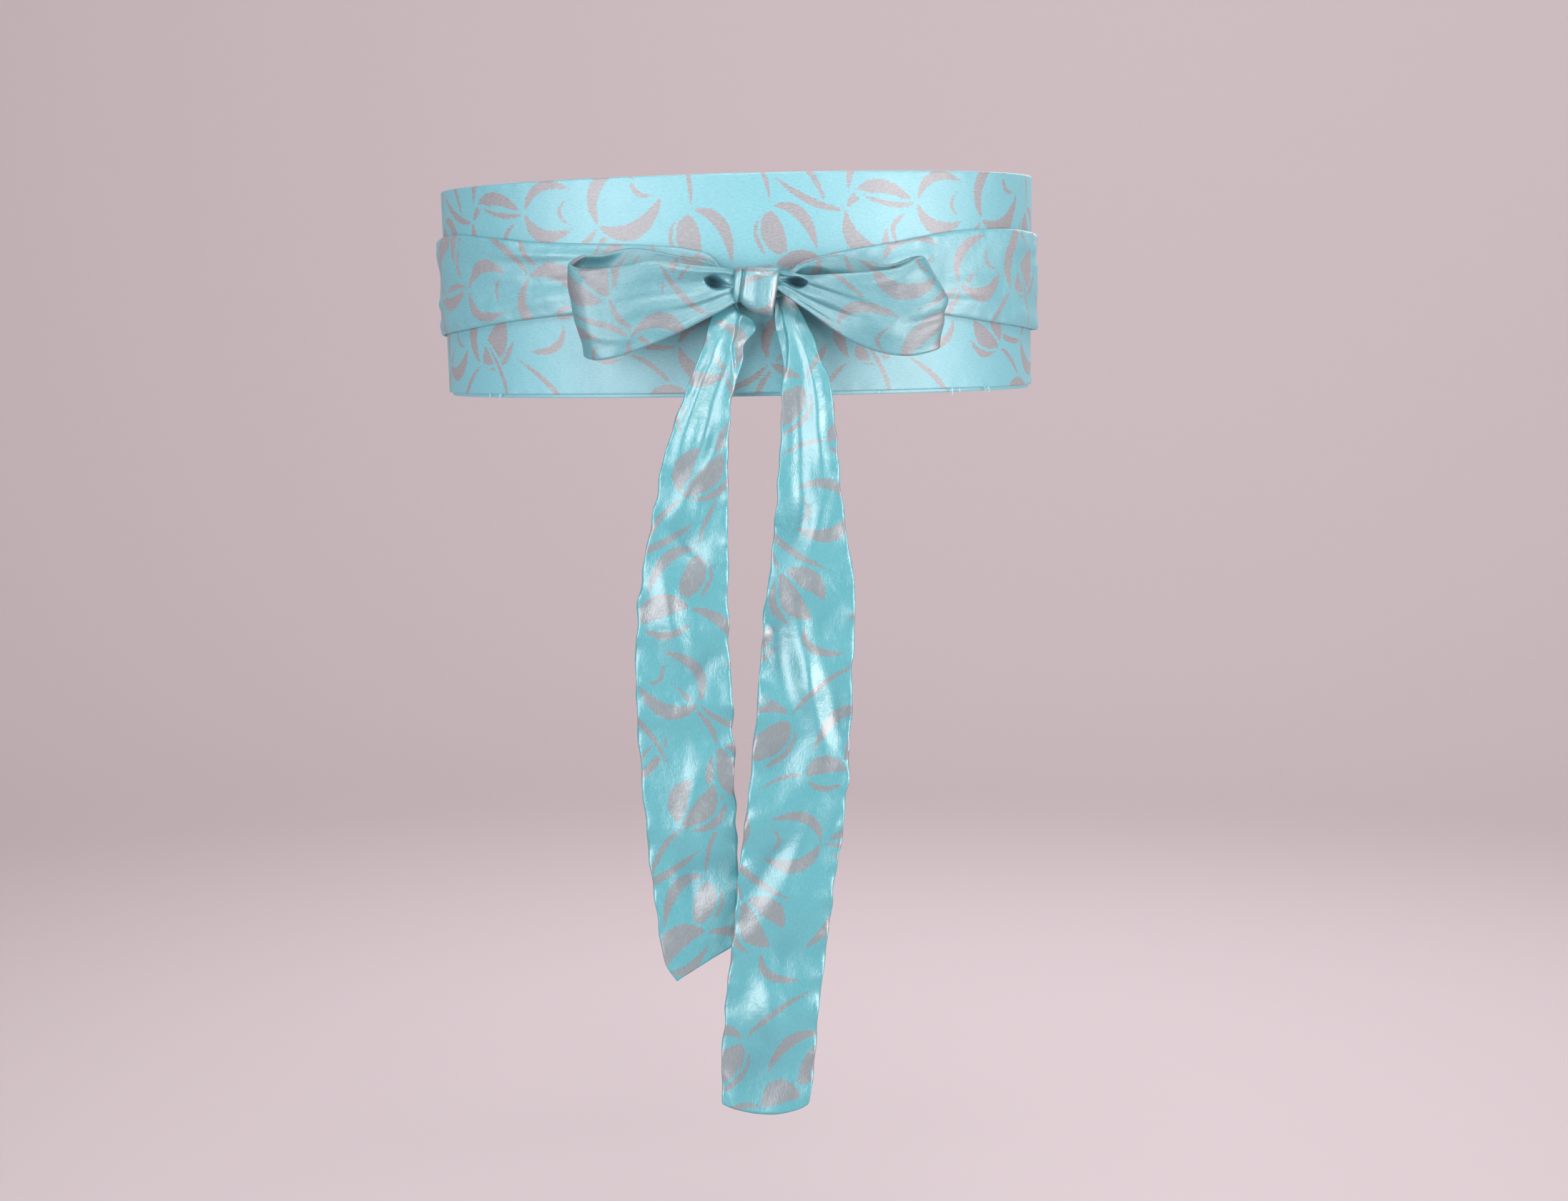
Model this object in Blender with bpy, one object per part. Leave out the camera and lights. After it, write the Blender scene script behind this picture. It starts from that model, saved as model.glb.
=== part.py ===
"""An obi sash as it is worn: a broad panel round the waist, and two ties that cross behind it,
come back round the sides over the panel and are tied in a bow with two hanging tails.

Sizes are in millimetres and turned into metres as each mesh is made. +Z is up, the front of the
waist faces -Y, and the origin is the middle of the waist at half the panel's height.
"""

import bpy
import bmesh
import numpy as np

MM = 0.001

# Waist and panel
WAIST_HALF_WIDTH = 135.0
WAIST_HALF_DEPTH = 97.0
WAIST_FLARE = 0.011  # the half width grows by this much for each unit of height
PANEL_HEIGHT = 92.6
PANEL_SKEW = 0.9  # how much taller than the middle each half of the +X side is
PANEL_WALL = 1.2
LINING_WALL = 1.0
LINING_DROP = 1.5  # the lining shows this far below the panel's lower edge
BACK_GAP = 35.0  # between the panel's two ends, at the centre back
SEAM_GAP = 0.3

# Ties
TIE_WALL = 2.0
TIE_EDGE = 0.5  # thickness at a tie's edges, as a share of the wall
LOOP_WALL = 2.0
TAIL_WALL = 1.8
FOLD_INSIDE = 0.7  # how much of a fold's height shows on the inner face of a tie on the panel
LOOP_GATHERS = 2.5  # waves across a loop near the knot
LOOP_TIP_AT = 0.46  # where across its width the right loop's outer fold comes to a point
LOOP_TIP_SPREAD = 0.5

# Soft waves in the tails, which start where the tail has opened out below the knot
TAIL_TIGHT = 45.0
TAIL_OPENING = 60.0
BILLOW = 1.1
BILLOW_PITCH = 47.0
BILLOW_SLANT = 2.2  # radians that a billow turns from one edge to the other
BILLOW_AT_EDGE = 0.4
RUFFLE = 0.8
RUFFLE_PITCH = 17.0
RUFFLE_POWER = 6  # how closely the ruffle keeps to the edges
RUFFLE_TURN = 2.0  # radians between the ruffles of the two edges
PLEAT_SPREAD = 0.09  # how soft the step of a pleat is, as a share of the width
TAIL_END_SAG = 5.2
TAIL_END_REACH = 18.0
TAIL_END_ROUND = 0.6

# Knot
KNOT_BACK = 97.5
KNOT_WALL = 1.2
KNOT_ROUNDNESS = 4.0  # exponent of the band's section: 2 is an ellipse, more is squarer
KNOT_STEPS = 32

# Points along and across each grid
PANEL_GRID = (84, 4)
LINING_GRID = (84, 2)
WRAP_GRID = (52, 9)
LOOP_GRID = (40, 10)
TAIL_GRID = (78, 8)

AQUA = (0.21, 0.64, 0.70, 1.0)
SATIN_ROUGHNESS = 0.42
SHARP_ANGLE = 50.0


def table(columns, rows):
    """The rows as a dict from each column's name to its values."""
    return dict(zip(columns.split(), np.array(rows, float).T))


# The ties round the waist, from the knot to the end that is sewn to the panel. The angle is 0 at
# the front and 90 at +X, top and bottom are heights, and out is how far the tie's inner face
# stands off the panel.
WRAP_COLUMNS = "angle top bottom out"
WRAP_LEFT = table(WRAP_COLUMNS, [
    (3.1, 2.6, -7.6, 3.2),
    (0.4, 2.6, -5.0, 3.4),
    (-1.2, 2.0, -4.0, 3.5),
    (-4.8, 11.6, -7.0, 2.2),
    (-9.2, 15.0, -8.6, 1.2),
    (-15.6, 16.8, -9.4, 0.6),
    (-22.3, 17.7, -10.2, 0.4),
    (-40.3, 19.9, -12.8, 0.4),
    (-53.8, 22.8, -15.2, 0.4),
    (-64.1, 24.7, -17.2, 0.4),
    (-79.7, 24.1, -18.9, 0.5),
    (-102.0, 22.6, -20.6, 0.6),
    (-128.0, 21.6, -20.4, 0.5),
    (-150.0, 21.6, -15.0, 0.5),
    (-164.0, 25.5, -3.0, 0.6),
    (-173.0, 28.6, 2.4, 0.7),
    (-180.0, 29.4, 3.6, -0.2),
    (-187.28, 29.4, 3.2, -1.6),
])
WRAP_RIGHT = table(WRAP_COLUMNS, [
    (3.4, 2.6, -8.6, 3.2),
    (5.6, 2.8, -9.4, 3.4),
    (7.5, 1.6, -8.6, 3.9),
    (10.5, 7.6, -8.0, 2.4),
    (16.0, 11.3, -8.6, 1.2),
    (23.0, 14.3, -9.8, 0.6),
    (30.1, 16.6, -11.4, 0.4),
    (42.5, 20.9, -15.4, 0.4),
    (58.7, 22.4, -19.2, 0.4),
    (81.2, 21.3, -22.2, 0.5),
    (104.0, 20.8, -22.6, 0.6),
    (128.0, 20.2, -22.2, 0.5),
    (150.0, 14.4, -23.2, 0.5),
    (164.0, 2.0, -26.6, 0.6),
    (173.0, -3.4, -29.4, 0.7),
    (180.0, -4.2, -30.2, -0.2),
    (187.28, -3.8, -30.0, -1.6),
])

# The bow's loops, from the neck along the front, round the outer fold and back behind: the
# upper and the lower edge's X and Z, the Y of both, how far the middle swells out, how deep the
# gathers are, and how far the outer fold comes to a point.
LOOP_COLUMNS = "x_top z_top x_low z_low y swell gather tip"
LOOP_LEFT = table(LOOP_COLUMNS, [
    (7.4, 3.2, 7.4, -8.6, -109.7, 0.0, 0.0, 0.0),
    (-2.6, 2.4, 0.4, -3.6, -109.5, 0.0, 0.1, 0.0),
    (-4.6, 6.2, -3.6, -9.4, -111.0, 0.2, 0.5, 0.0),
    (-16.7, 7.4, -19.0, -17.2, -115.6, 1.0, 0.9, 0.0),
    (-37.8, 9.8, -38.5, -25.4, -118.2, 1.6, 0.4, 0.0),
    (-55.0, 7.2, -53.5, -30.2, -117.6, 1.8, 0.0, 0.0),
    (-66.0, 7.2, -61.0, -30.9, -115.0, 1.4, 0.0, 0.0),
    (-71.0, 9.6, -64.6, -29.6, -109.6, 1.0, 0.0, 0.0),
    (-67.6, 12.7, -61.5, -27.0, -104.0, 1.0, 0.0, 0.0),
    (-57.5, 13.2, -52.0, -22.0, -101.8, 1.2, 0.0, 0.0),
    (-45.0, 15.7, -38.0, -16.4, -101.6, 1.0, 0.3, 0.0),
    (-27.0, 12.4, -24.0, -11.4, -103.8, 0.6, 0.5, 0.0),
    (-10.0, 8.2, -10.0, -8.4, -106.6, 0.0, 0.3, 0.0),
    (-2.5, 3.2, 0.2, -4.6, -107.0, 0.0, 0.0, 0.0),
    (7.4, 3.4, 7.4, -8.6, -107.0, 0.0, 0.0, 0.0),
])
LOOP_RIGHT = table(LOOP_COLUMNS, [
    (7.8, 3.2, 7.8, -8.8, -110.0, 0.0, 0.0, 0.0),
    (17.6, 2.6, 15.2, -8.4, -109.9, 0.0, 0.1, 0.0),
    (21.4, 1.8, 20.6, -8.0, -111.6, 0.2, 0.5, 0.0),
    (28.0, 0.8, 28.5, -12.8, -114.6, 0.8, 0.6, 0.0),
    (38.0, 2.8, 39.0, -20.4, -117.4, 1.3, 0.3, 0.0),
    (53.0, 3.4, 51.0, -27.4, -118.6, 1.6, 0.0, 1.0),
    (66.0, 5.0, 63.5, -31.2, -118.0, 1.6, 0.0, 3.4),
    (72.8, 8.4, 74.0, -31.6, -115.4, 1.4, 0.0, 6.4),
    (75.4, 9.8, 80.6, -29.3, -109.8, 0.8, 0.0, 8.2),
    (72.6, 9.6, 75.0, -27.0, -104.2, 0.8, 0.0, 6.4),
    (62.0, 6.4, 62.0, -24.0, -102.0, 1.2, 0.0, 2.4),
    (50.0, 9.0, 48.5, -18.4, -101.6, 1.2, 0.2, 0.4),
    (41.0, 10.8, 38.0, -13.4, -102.4, 0.8, 0.4, 0.0),
    (26.0, 7.4, 26.0, -5.4, -105.8, 0.3, 0.3, 0.0),
    (17.4, 3.2, 15.4, -6.4, -107.0, 0.0, 0.0, 0.0),
    (7.8, 3.4, 7.8, -8.8, -107.0, 0.0, 0.0, 0.0),
])

# The tails, from inside the knot to the free end: the X and Z of the left and right edge, the Y,
# and the step where a pleat lies behind: where across the width it is, and how deep.
TAIL_COLUMNS = "x_left z_left x_right z_right y step_at step"
TAIL_LEFT = table(TAIL_COLUMNS, [
    (5.0, 1.4, 5.4, -7.6, -104.1, 0.5, 0.0),
    (-0.6, 1.0, 0.4, -4.6, -104.1, 0.5, 0.0),
    (-5.2, -2.0, -2.0, -8.2, -104.0, 0.6, 0.0),
    (-8.8, -7.6, -0.6, -12.4, -104.0, 0.7, 0.4),
    (-11.6, -13.2, 3.6, -15.4, -104.8, 0.70, 1.8),
    (-13.8, -19.4, 6.0, -19.6, -106.8, 0.66, 2.8),
    (-16.2, -27.0, 3.2, -26.4, -108.2, 0.80, 2.6),
    (-19.4, -35.0, 0.0, -35.0, -109.0, 0.95, 1.0),
    (-24.9, -48.5, -3.9, -48.7, -109.8, 1.0, 0.0),
    (-33.3, -72.4, -6.0, -72.6, -110.8, 1.0, 0.0),
    (-38.4, -96.4, -6.7, -96.8, -111.6, 1.0, 0.0),
    (-43.6, -120.4, -7.1, -121.0, -112.0, 1.0, 0.0),
    (-46.7, -145.0, -7.6, -145.4, -111.8, 1.0, 0.0),
    (-47.5, -181.4, -6.5, -182.0, -111.0, 1.0, 0.0),
    (-45.7, -218.4, -6.5, -219.0, -109.6, 1.0, 0.0),
    (-42.9, -256.0, -5.9, -254.0, -108.6, 1.0, 0.0),
    (-39.9, -281.0, -6.9, -271.0, -108.2, 1.0, 0.0),
    (-38.2, -291.4, -7.2, -277.6, -108.2, 1.0, 0.0),
    (-34.0, -298.8, -7.6, -282.6, -108.2, 1.0, 0.0),
])
TAIL_RIGHT = table(TAIL_COLUMNS, [
    (9.2, -9.2, 9.2, -1.4, -104.1, 0.5, 0.0),
    (14.4, -10.2, 15.8, 0.0, -104.1, 0.5, 0.0),
    (14.8, -14.0, 20.6, -4.6, -104.2, 0.4, -0.4),
    (15.0, -19.0, 26.2, -13.2, -105.4, 0.32, -2.0),
    (16.2, -24.6, 30.6, -22.0, -107.4, 0.25, -2.4),
    (17.8, -33.4, 34.2, -32.4, -109.2, 0.1, -1.2),
    (17.0, -45.2, 37.8, -44.2, -110.8, 0.0, 0.0),
    (16.0, -61.2, 39.2, -61.4, -112.4, 0.0, 0.0),
    (14.4, -85.2, 41.2, -85.6, -114.0, 0.0, 0.0),
    (11.9, -109.2, 43.6, -109.8, -115.0, 0.0, 0.0),
    (8.1, -133.4, 46.2, -134.2, -115.6, 0.0, 0.0),
    (5.6, -157.8, 44.9, -158.6, -115.8, 0.0, 0.0),
    (1.9, -194.4, 43.0, -195.2, -115.8, 0.0, 0.0),
    (-3.2, -231.4, 39.2, -232.2, -115.6, 0.0, 0.0),
    (-7.9, -268.6, 33.1, -269.4, -115.4, 0.0, 0.0),
    (-12.5, -306.0, 28.0, -307.0, -115.0, 0.0, 0.0),
    (-15.2, -340.0, 24.2, -341.0, -114.6, 0.0, 0.0),
    (-15.2, -350.6, 22.6, -351.6, -114.5, 0.0, 0.0),
])

# The knot's band, from -X to +X: X where it crosses the top and the bottom, its highest and
# lowest point, and how far it reaches in front. The dip in the middle parts its two turns.
KNOT_BAND = table("x_top x_low top low front", [
    (-2.1, 0.5, 5.5, -7.0, 112.8),
    (-1.2, 1.2, 6.4, -8.0, 113.6),
    (0.8, 2.6, 6.6, -9.6, 113.9),
    (1.9, 3.2, 6.0, -10.0, 112.9),
    (2.8, 4.0, 6.4, -11.0, 113.9),
    (5.6, 6.2, 6.7, -12.2, 114.6),
    (9.6, 8.8, 6.7, -13.6, 114.9),
    (13.6, 11.4, 6.5, -14.3, 114.5),
    (16.4, 13.4, 6.2, -14.4, 113.7),
    (17.2, 14.0, 5.6, -13.6, 112.8),
])

# The main folds: where each starts and ends along its piece and across it, as shares from 0 to 1,
# how high it stands, with troughs below 0, and how wide it is across the piece.
FOLD_COLUMNS = "start end across_start across_end height spread"
WRAP_LEFT_FOLDS = table(FOLD_COLUMNS, [
    (0.02, 0.26, 0.30, 0.42, 1.0, 0.10),
    (0.03, 0.30, 0.62, 0.80, 0.9, 0.09),
    (0.16, 0.36, 0.16, 0.16, 1.0, 0.08),
    (0.24, 0.44, 0.78, 0.92, 1.1, 0.08),
    (0.46, 0.72, 0.30, 0.45, 0.9, 0.10),
    (0.58, 0.88, 0.72, 0.60, 1.0, 0.09),
    (0.78, 1.02, 0.30, 0.42, 1.1, 0.10),
])
WRAP_RIGHT_FOLDS = table(FOLD_COLUMNS, [
    (0.02, 0.24, 0.36, 0.26, 1.0, 0.10),
    (0.04, 0.32, 0.68, 0.60, 0.9, 0.10),
    (0.22, 0.46, 0.84, 0.90, 1.1, 0.08),
    (0.28, 0.50, 0.16, 0.14, 0.9, 0.08),
    (0.50, 0.78, 0.62, 0.50, 0.9, 0.10),
    (0.62, 0.90, 0.24, 0.34, 1.0, 0.09),
    (0.80, 1.02, 0.66, 0.58, 1.1, 0.10),
])
LOOP_LEFT_FOLDS = table(FOLD_COLUMNS, [
    (0.05, 0.26, 0.34, 0.24, -1.5, 0.09),
    (0.08, 0.40, 0.62, 0.84, 0.9, 0.10),
    (0.36, 0.58, 0.16, 0.30, 0.8, 0.12),
    (0.62, 0.92, 0.30, 0.45, 0.9, 0.12),
])
LOOP_RIGHT_FOLDS = table(FOLD_COLUMNS, [
    (0.08, 0.36, 0.10, 0.58, -1.7, 0.10),
    (0.14, 0.44, 0.34, 0.86, 0.8, 0.12),
    (0.38, 0.56, 0.66, 0.60, -1.2, 0.07),
    (0.62, 0.92, 0.34, 0.42, 0.9, 0.12),
])
TAIL_LEFT_FOLDS = table(FOLD_COLUMNS, [
    (0.06, 0.30, 0.32, 0.22, 1.3, 0.12),
    (0.10, 0.36, 0.66, 0.56, -0.9, 0.12),
    (0.40, 0.60, 0.20, 0.55, 1.2, 0.14),
    (0.66, 0.86, 0.75, 0.35, 1.1, 0.14),
])
TAIL_RIGHT_FOLDS = table(FOLD_COLUMNS, [
    (0.04, 0.26, 0.62, 0.72, 1.3, 0.12),
    (0.12, 0.34, 0.34, 0.40, -0.9, 0.12),
    (0.36, 0.58, 0.24, 0.78, 1.5, 0.13),
    (0.60, 0.76, 0.80, 0.40, 1.1, 0.14),
    (0.80, 0.95, 0.30, 0.60, 1.0, 0.14),
])


def smooth(at, knots, values):
    """A smooth curve that passes through the values at the knots, read at the places in at."""
    slopes = np.gradient(values, knots)
    low = np.clip(np.searchsorted(knots, at, side="right") - 1, 0, len(knots) - 2)
    step = knots[low + 1] - knots[low]
    t = (at - knots[low]) / step
    start = (2 * t**3 - 3 * t**2 + 1) * values[low]
    leave = (t**3 - 2 * t**2 + t) * step * slopes[low]
    end = (3 * t**2 - 2 * t**3) * values[low + 1]
    arrive = (t**3 - t**2) * step * slopes[low + 1]
    return start + leave + end + arrive


def resampled(rows, points, count):
    """The table's columns at count even steps along the line that runs through the points."""
    steps = np.linalg.norm(np.diff(points, axis=0), axis=1)
    run = np.concatenate([[0.0], np.cumsum(steps)])
    at = np.linspace(0.0, run[-1], count)
    return {name: smooth(at, run, values) for name, values in rows.items()}, at


def waist(angle, height, out):
    """Points round the waist: out is how far they stand off the panel's outer face."""
    half_width = WAIST_HALF_WIDTH + WAIST_FLARE * height
    turn = np.radians(angle)
    ring = np.stack([half_width * np.sin(turn), -WAIST_HALF_DEPTH * np.cos(turn)], -1)
    normal = np.stack([np.sin(turn) / half_width, -np.cos(turn) / WAIST_HALF_DEPTH], -1)
    normal /= np.linalg.norm(normal, axis=-1, keepdims=True)
    flat = ring + normal * np.asarray(out)[..., None]
    return np.concatenate([flat, np.broadcast_to(height, angle.shape)[..., None]], -1)


def fold_relief(folds, along, across):
    """How far the folds lift a piece, for shares along it and across it."""
    relief = np.zeros(np.broadcast(along, across).shape)
    for i in range(len(folds["start"])):
        fold = {name: values[i] for name, values in folds.items()}
        place = np.clip((along - fold["start"]) / (fold["end"] - fold["start"]), 0.0, 1.0)
        centre = fold["across_start"] + (fold["across_end"] - fold["across_start"]) * place
        profile = np.exp(-(((across - centre) / fold["spread"]) ** 2))
        relief += fold["height"] * np.sin(np.pi * place) * profile
    return relief


def edge_thickness(count, wall):
    """A tie's thickness at count places across it, thinner at its two folded edges."""
    across = np.linspace(0.0, 1.0, count)
    return wall * (TIE_EDGE + (1.0 - TIE_EDGE) * np.sin(np.pi * across) ** 0.5)


def satin(name):
    material = bpy.data.materials.new(name)
    material.use_nodes = True
    shader = material.node_tree.nodes["Principled BSDF"]
    shader.inputs["Base Color"].default_value = AQUA
    shader.inputs["Roughness"].default_value = SATIN_ROUGHNESS
    shader.inputs["Metallic"].default_value = 0.0
    return material


def wall(name, outer, inner, ring=False):
    """One closed solid between an outer and an inner grid of points in millimetres."""
    rows, columns = outer.shape[:2]
    points = np.concatenate([outer.reshape(-1, 3), inner.reshape(-1, 3)]) * MM
    bm = bmesh.new()
    corners = [bm.verts.new(point) for point in points.tolist()]

    def corner(side, row, column):
        return corners[side * rows * columns + (row % rows) * columns + column]

    def quad(*places):
        bm.faces.new([corner(*place) for place in places])

    for row in range(rows if ring else rows - 1):
        after = row + 1
        for column in range(columns - 1):
            beside = column + 1
            quad((0, row, column), (0, after, column), (0, after, beside), (0, row, beside))
            quad((1, row, beside), (1, after, beside), (1, after, column), (1, row, column))
        last = columns - 1
        quad((1, row, 0), (1, after, 0), (0, after, 0), (0, row, 0))
        quad((0, row, last), (0, after, last), (1, after, last), (1, row, last))
    if not ring:
        last = rows - 1
        for column in range(columns - 1):
            beside = column + 1
            quad((0, 0, column), (0, 0, beside), (1, 0, beside), (1, 0, column))
            quad((1, last, column), (1, last, beside), (0, last, beside), (0, last, column))
    if bm.calc_volume(signed=True) < 0:
        bmesh.ops.reverse_faces(bm, faces=bm.faces)
    mesh = bpy.data.meshes.new(name)
    bm.to_mesh(mesh)
    bm.free()
    mesh.shade_smooth()
    mesh.set_sharp_from_angle(angle=np.radians(SHARP_ANGLE))
    mesh.materials.append(satin(name))
    piece = bpy.data.objects.new(name, mesh)
    bpy.context.scene.collection.objects.link(piece)


def panel_edges(angle):
    """Heights of the panel's upper and lower edge at an angle round the waist."""
    half = PANEL_HEIGHT / 2 + PANEL_SKEW * np.sin(np.radians(angle))
    return half, -half


def panel_layer(name, grid, out, thickness, drop):
    """A layer of the panel whose outer face stands at out, let down by drop."""
    half_turn = 180.0 - np.degrees(BACK_GAP / 2 / WAIST_HALF_WIDTH)
    angle = np.linspace(-half_turn, half_turn, grid[0])[:, None]
    across = np.linspace(0.0, 1.0, grid[1])[None, :]
    top, bottom = panel_edges(angle)
    height = (top - drop) + (bottom - top) * across
    angle = np.broadcast_to(angle, height.shape)
    outer = waist(angle, height, np.full(height.shape, out))
    inner = waist(angle, height, np.full(height.shape, out - thickness))
    wall(name, outer, inner)


def wrap(name, rows, folds):
    """A tie round the waist, lying on the panel."""
    middle = (rows["top"] + rows["bottom"]) / 2
    at, run = resampled(rows, waist(rows["angle"], middle, rows["out"]), WRAP_GRID[0])
    across = np.linspace(0.0, 1.0, WRAP_GRID[1])[None, :]
    height = at["top"][:, None] * (1 - across) + at["bottom"][:, None] * across
    angle = np.broadcast_to(at["angle"][:, None], height.shape)
    relief = fold_relief(folds, (run / run[-1])[:, None], across)
    inner_out = at["out"][:, None] + relief * FOLD_INSIDE
    outer_out = at["out"][:, None] + relief + edge_thickness(WRAP_GRID[1], TIE_WALL)[None, :]
    wall(name, waist(angle, height, outer_out), waist(angle, height, inner_out))


def edge_lines(rows, first_x, first_z, second_x, second_z, count):
    """The rows spread evenly between two edge lines, the lines' points, and the run along them."""
    first = np.stack([rows[first_x], rows["y"], rows[first_z]], -1)
    second = np.stack([rows[second_x], rows["y"], rows[second_z]], -1)
    at, run = resampled(rows, (first + second) / 2, count)
    first = np.stack([at[first_x], at["y"], at[first_z]], -1)
    second = np.stack([at[second_x], at["y"], at[second_z]], -1)
    return at, first, second, run


def ribbon(name, first, second, facing, relief, shift, thickness):
    """A tie between two edge lines: relief moves it the way it faces, and shift moves it freely."""
    across = np.linspace(0.0, 1.0, len(thickness))[None, :, None]
    middle = first[:, None, :] * (1 - across) + second[:, None, :] * across
    middle = middle + facing[:, None, :] * relief[..., None] + shift
    half = facing[:, None, :] * (thickness[None, :, None] / 2)
    wall(name, middle + half, middle - half)


def loop(name, rows, folds, outward):
    """A loop of the bow; outward is 1 where it reaches towards +X, and -1 towards -X."""
    at, top, low, run = edge_lines(rows, "x_top", "z_top", "x_low", "z_low", LOOP_GRID[0])
    path = np.gradient((top + low) / 2, axis=0)
    facing = outward * np.stack([path[:, 1], -path[:, 0], np.zeros(len(path))], -1)
    facing /= np.linalg.norm(facing, axis=1, keepdims=True)
    across = np.linspace(0.0, 1.0, LOOP_GRID[1])[None, :]
    swell = at["swell"][:, None] * np.sin(np.pi * across)
    gathers = at["gather"][:, None] * np.sin(2 * np.pi * LOOP_GATHERS * across)
    relief = swell + gathers + fold_relief(folds, (run / run[-1])[:, None], across)
    tent = np.maximum(0.0, 1.0 - np.abs(across - LOOP_TIP_AT) / LOOP_TIP_SPREAD)
    shift = np.zeros((*relief.shape, 3))
    shift[..., 0] = outward * at["tip"][:, None] * tent
    ribbon(name, top, low, facing, relief, shift, edge_thickness(LOOP_GRID[1], LOOP_WALL))


def tail(name, rows, folds, phase, end_sag):
    """A hanging end of a tie, pleated where it leaves the knot; phase sets where its waves lie."""
    at, left, right, run = edge_lines(
        rows, "x_left", "z_left", "x_right", "z_right", TAIL_GRID[0]
    )
    facing = np.tile([0.0, -1.0, 0.0], (len(run), 1))
    across = np.linspace(0.0, 1.0, TAIL_GRID[1])[None, :]
    length = run[:, None]
    loose = np.clip((length - TAIL_TIGHT) / TAIL_OPENING, 0.0, 1.0)
    turn = 2 * np.pi * length / BILLOW_PITCH + BILLOW_SLANT * across + phase
    depth = BILLOW_AT_EDGE + (1 - BILLOW_AT_EDGE) * np.sin(np.pi * across)
    billow = BILLOW * loose * depth * np.sin(turn)
    near_edge = np.abs(2 * across - 1) ** RUFFLE_POWER
    turn = 2 * np.pi * length / RUFFLE_PITCH + RUFFLE_TURN * np.round(across) + phase
    ruffle = RUFFLE * loose * near_edge * np.sin(turn)
    step = np.tanh((across - at["step_at"][:, None]) / PLEAT_SPREAD)
    relief = billow + ruffle - at["step"][:, None] / 2 * step
    relief = relief + fold_relief(folds, (run / run[-1])[:, None], across)
    near_end = np.clip(1.0 - (run[-1] - length) / TAIL_END_REACH, 0.0, 1.0)
    shift = np.zeros((*relief.shape, 3))
    shift[..., 2] = -end_sag * near_end**2 * np.sin(np.pi * across) ** TAIL_END_ROUND
    ribbon(name, left, right, facing, relief, shift, edge_thickness(TAIL_GRID[1], TAIL_WALL))


def knot_ring(inset):
    """The band's points for each turn step and column, moved in from its outer face by inset."""
    turn = np.linspace(0.0, 2 * np.pi, KNOT_STEPS, endpoint=False)[:, None]
    power = 2.0 / KNOT_ROUNDNESS
    forward = np.sign(np.cos(turn)) * np.abs(np.cos(turn)) ** power
    upward = np.sign(np.sin(turn)) * np.abs(np.sin(turn)) ** power
    band = KNOT_BAND
    half_depth = (band["front"] - KNOT_BACK) / 2
    half_height = (band["top"] - band["low"]) / 2
    y = -(band["front"] + KNOT_BACK) / 2 - forward * (half_depth - inset)
    z = (band["top"] + band["low"]) / 2 + upward * (half_height - inset)
    share = (band["top"] - z) / (band["top"] - band["low"])
    x = band["x_top"] + (band["x_low"] - band["x_top"]) * share
    return np.stack([x, y, z], -1)


def build():
    for old in list(bpy.data.objects):
        bpy.data.objects.remove(old)
    panel_layer("waist_panel", PANEL_GRID, 0.0, PANEL_WALL, 0.0)
    panel_layer("panel_lining", LINING_GRID, -PANEL_WALL - SEAM_GAP, LINING_WALL, LINING_DROP)
    wrap("wrap_left", WRAP_LEFT, WRAP_LEFT_FOLDS)
    wrap("wrap_right", WRAP_RIGHT, WRAP_RIGHT_FOLDS)
    loop("loop_left", LOOP_LEFT, LOOP_LEFT_FOLDS, -1)
    loop("loop_right", LOOP_RIGHT, LOOP_RIGHT_FOLDS, 1)
    tail("tail_left", TAIL_LEFT, TAIL_LEFT_FOLDS, 0.4, 0.0)
    tail("tail_right", TAIL_RIGHT, TAIL_RIGHT_FOLDS, 2.1, TAIL_END_SAG)
    wall("knot_band", knot_ring(0.0), knot_ring(KNOT_WALL), ring=True)


build()
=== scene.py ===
"""The looks of an obi sash of printed satin: fine shells on the forms of its solids, the print,
the satin, a studio and the camera.

Sizes are in millimetres and turned into metres as each mesh is made. +Z is up and the front faces
-Y. The tables start from those of the solids: the wraps and the right tail run along the same
lines, and the loops, the knot, the left tail and the folds are worked out further. The pockets,
the overhanging folds and the small unevenness are made here alone.
"""

from functools import partial

import bmesh
import bpy
import numpy as np
from mathutils import Matrix, Vector


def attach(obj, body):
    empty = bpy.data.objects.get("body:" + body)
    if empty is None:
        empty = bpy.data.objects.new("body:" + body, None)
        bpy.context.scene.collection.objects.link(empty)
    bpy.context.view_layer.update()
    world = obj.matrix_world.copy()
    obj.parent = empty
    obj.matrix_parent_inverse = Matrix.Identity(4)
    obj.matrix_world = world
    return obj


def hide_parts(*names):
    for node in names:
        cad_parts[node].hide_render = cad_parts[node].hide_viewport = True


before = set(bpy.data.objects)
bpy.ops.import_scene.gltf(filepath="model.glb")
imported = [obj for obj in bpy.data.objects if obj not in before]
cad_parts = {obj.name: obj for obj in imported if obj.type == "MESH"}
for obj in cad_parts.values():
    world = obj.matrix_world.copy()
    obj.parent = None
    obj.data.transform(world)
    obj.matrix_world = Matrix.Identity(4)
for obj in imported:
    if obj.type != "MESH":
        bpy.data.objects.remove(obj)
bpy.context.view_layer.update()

MM = 0.001

# Waist and panel
WAIST_HALF_WIDTH = 135.0
WAIST_HALF_DEPTH = 97.0
WAIST_FLARE = 0.011  # the half width grows by this much for each unit of height
PANEL_HEIGHT = 92.6
PANEL_SKEW = 0.9  # how much taller than the middle each half of the +X side is
PANEL_WALL = 1.2
LINING_WALL = 1.0
LINING_DROP = 1.5  # the lining shows this far below the panel's lower edge
BACK_GAP = 35.0  # between the panel's two ends, at the centre back
SEAM_GAP = 0.3

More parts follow.
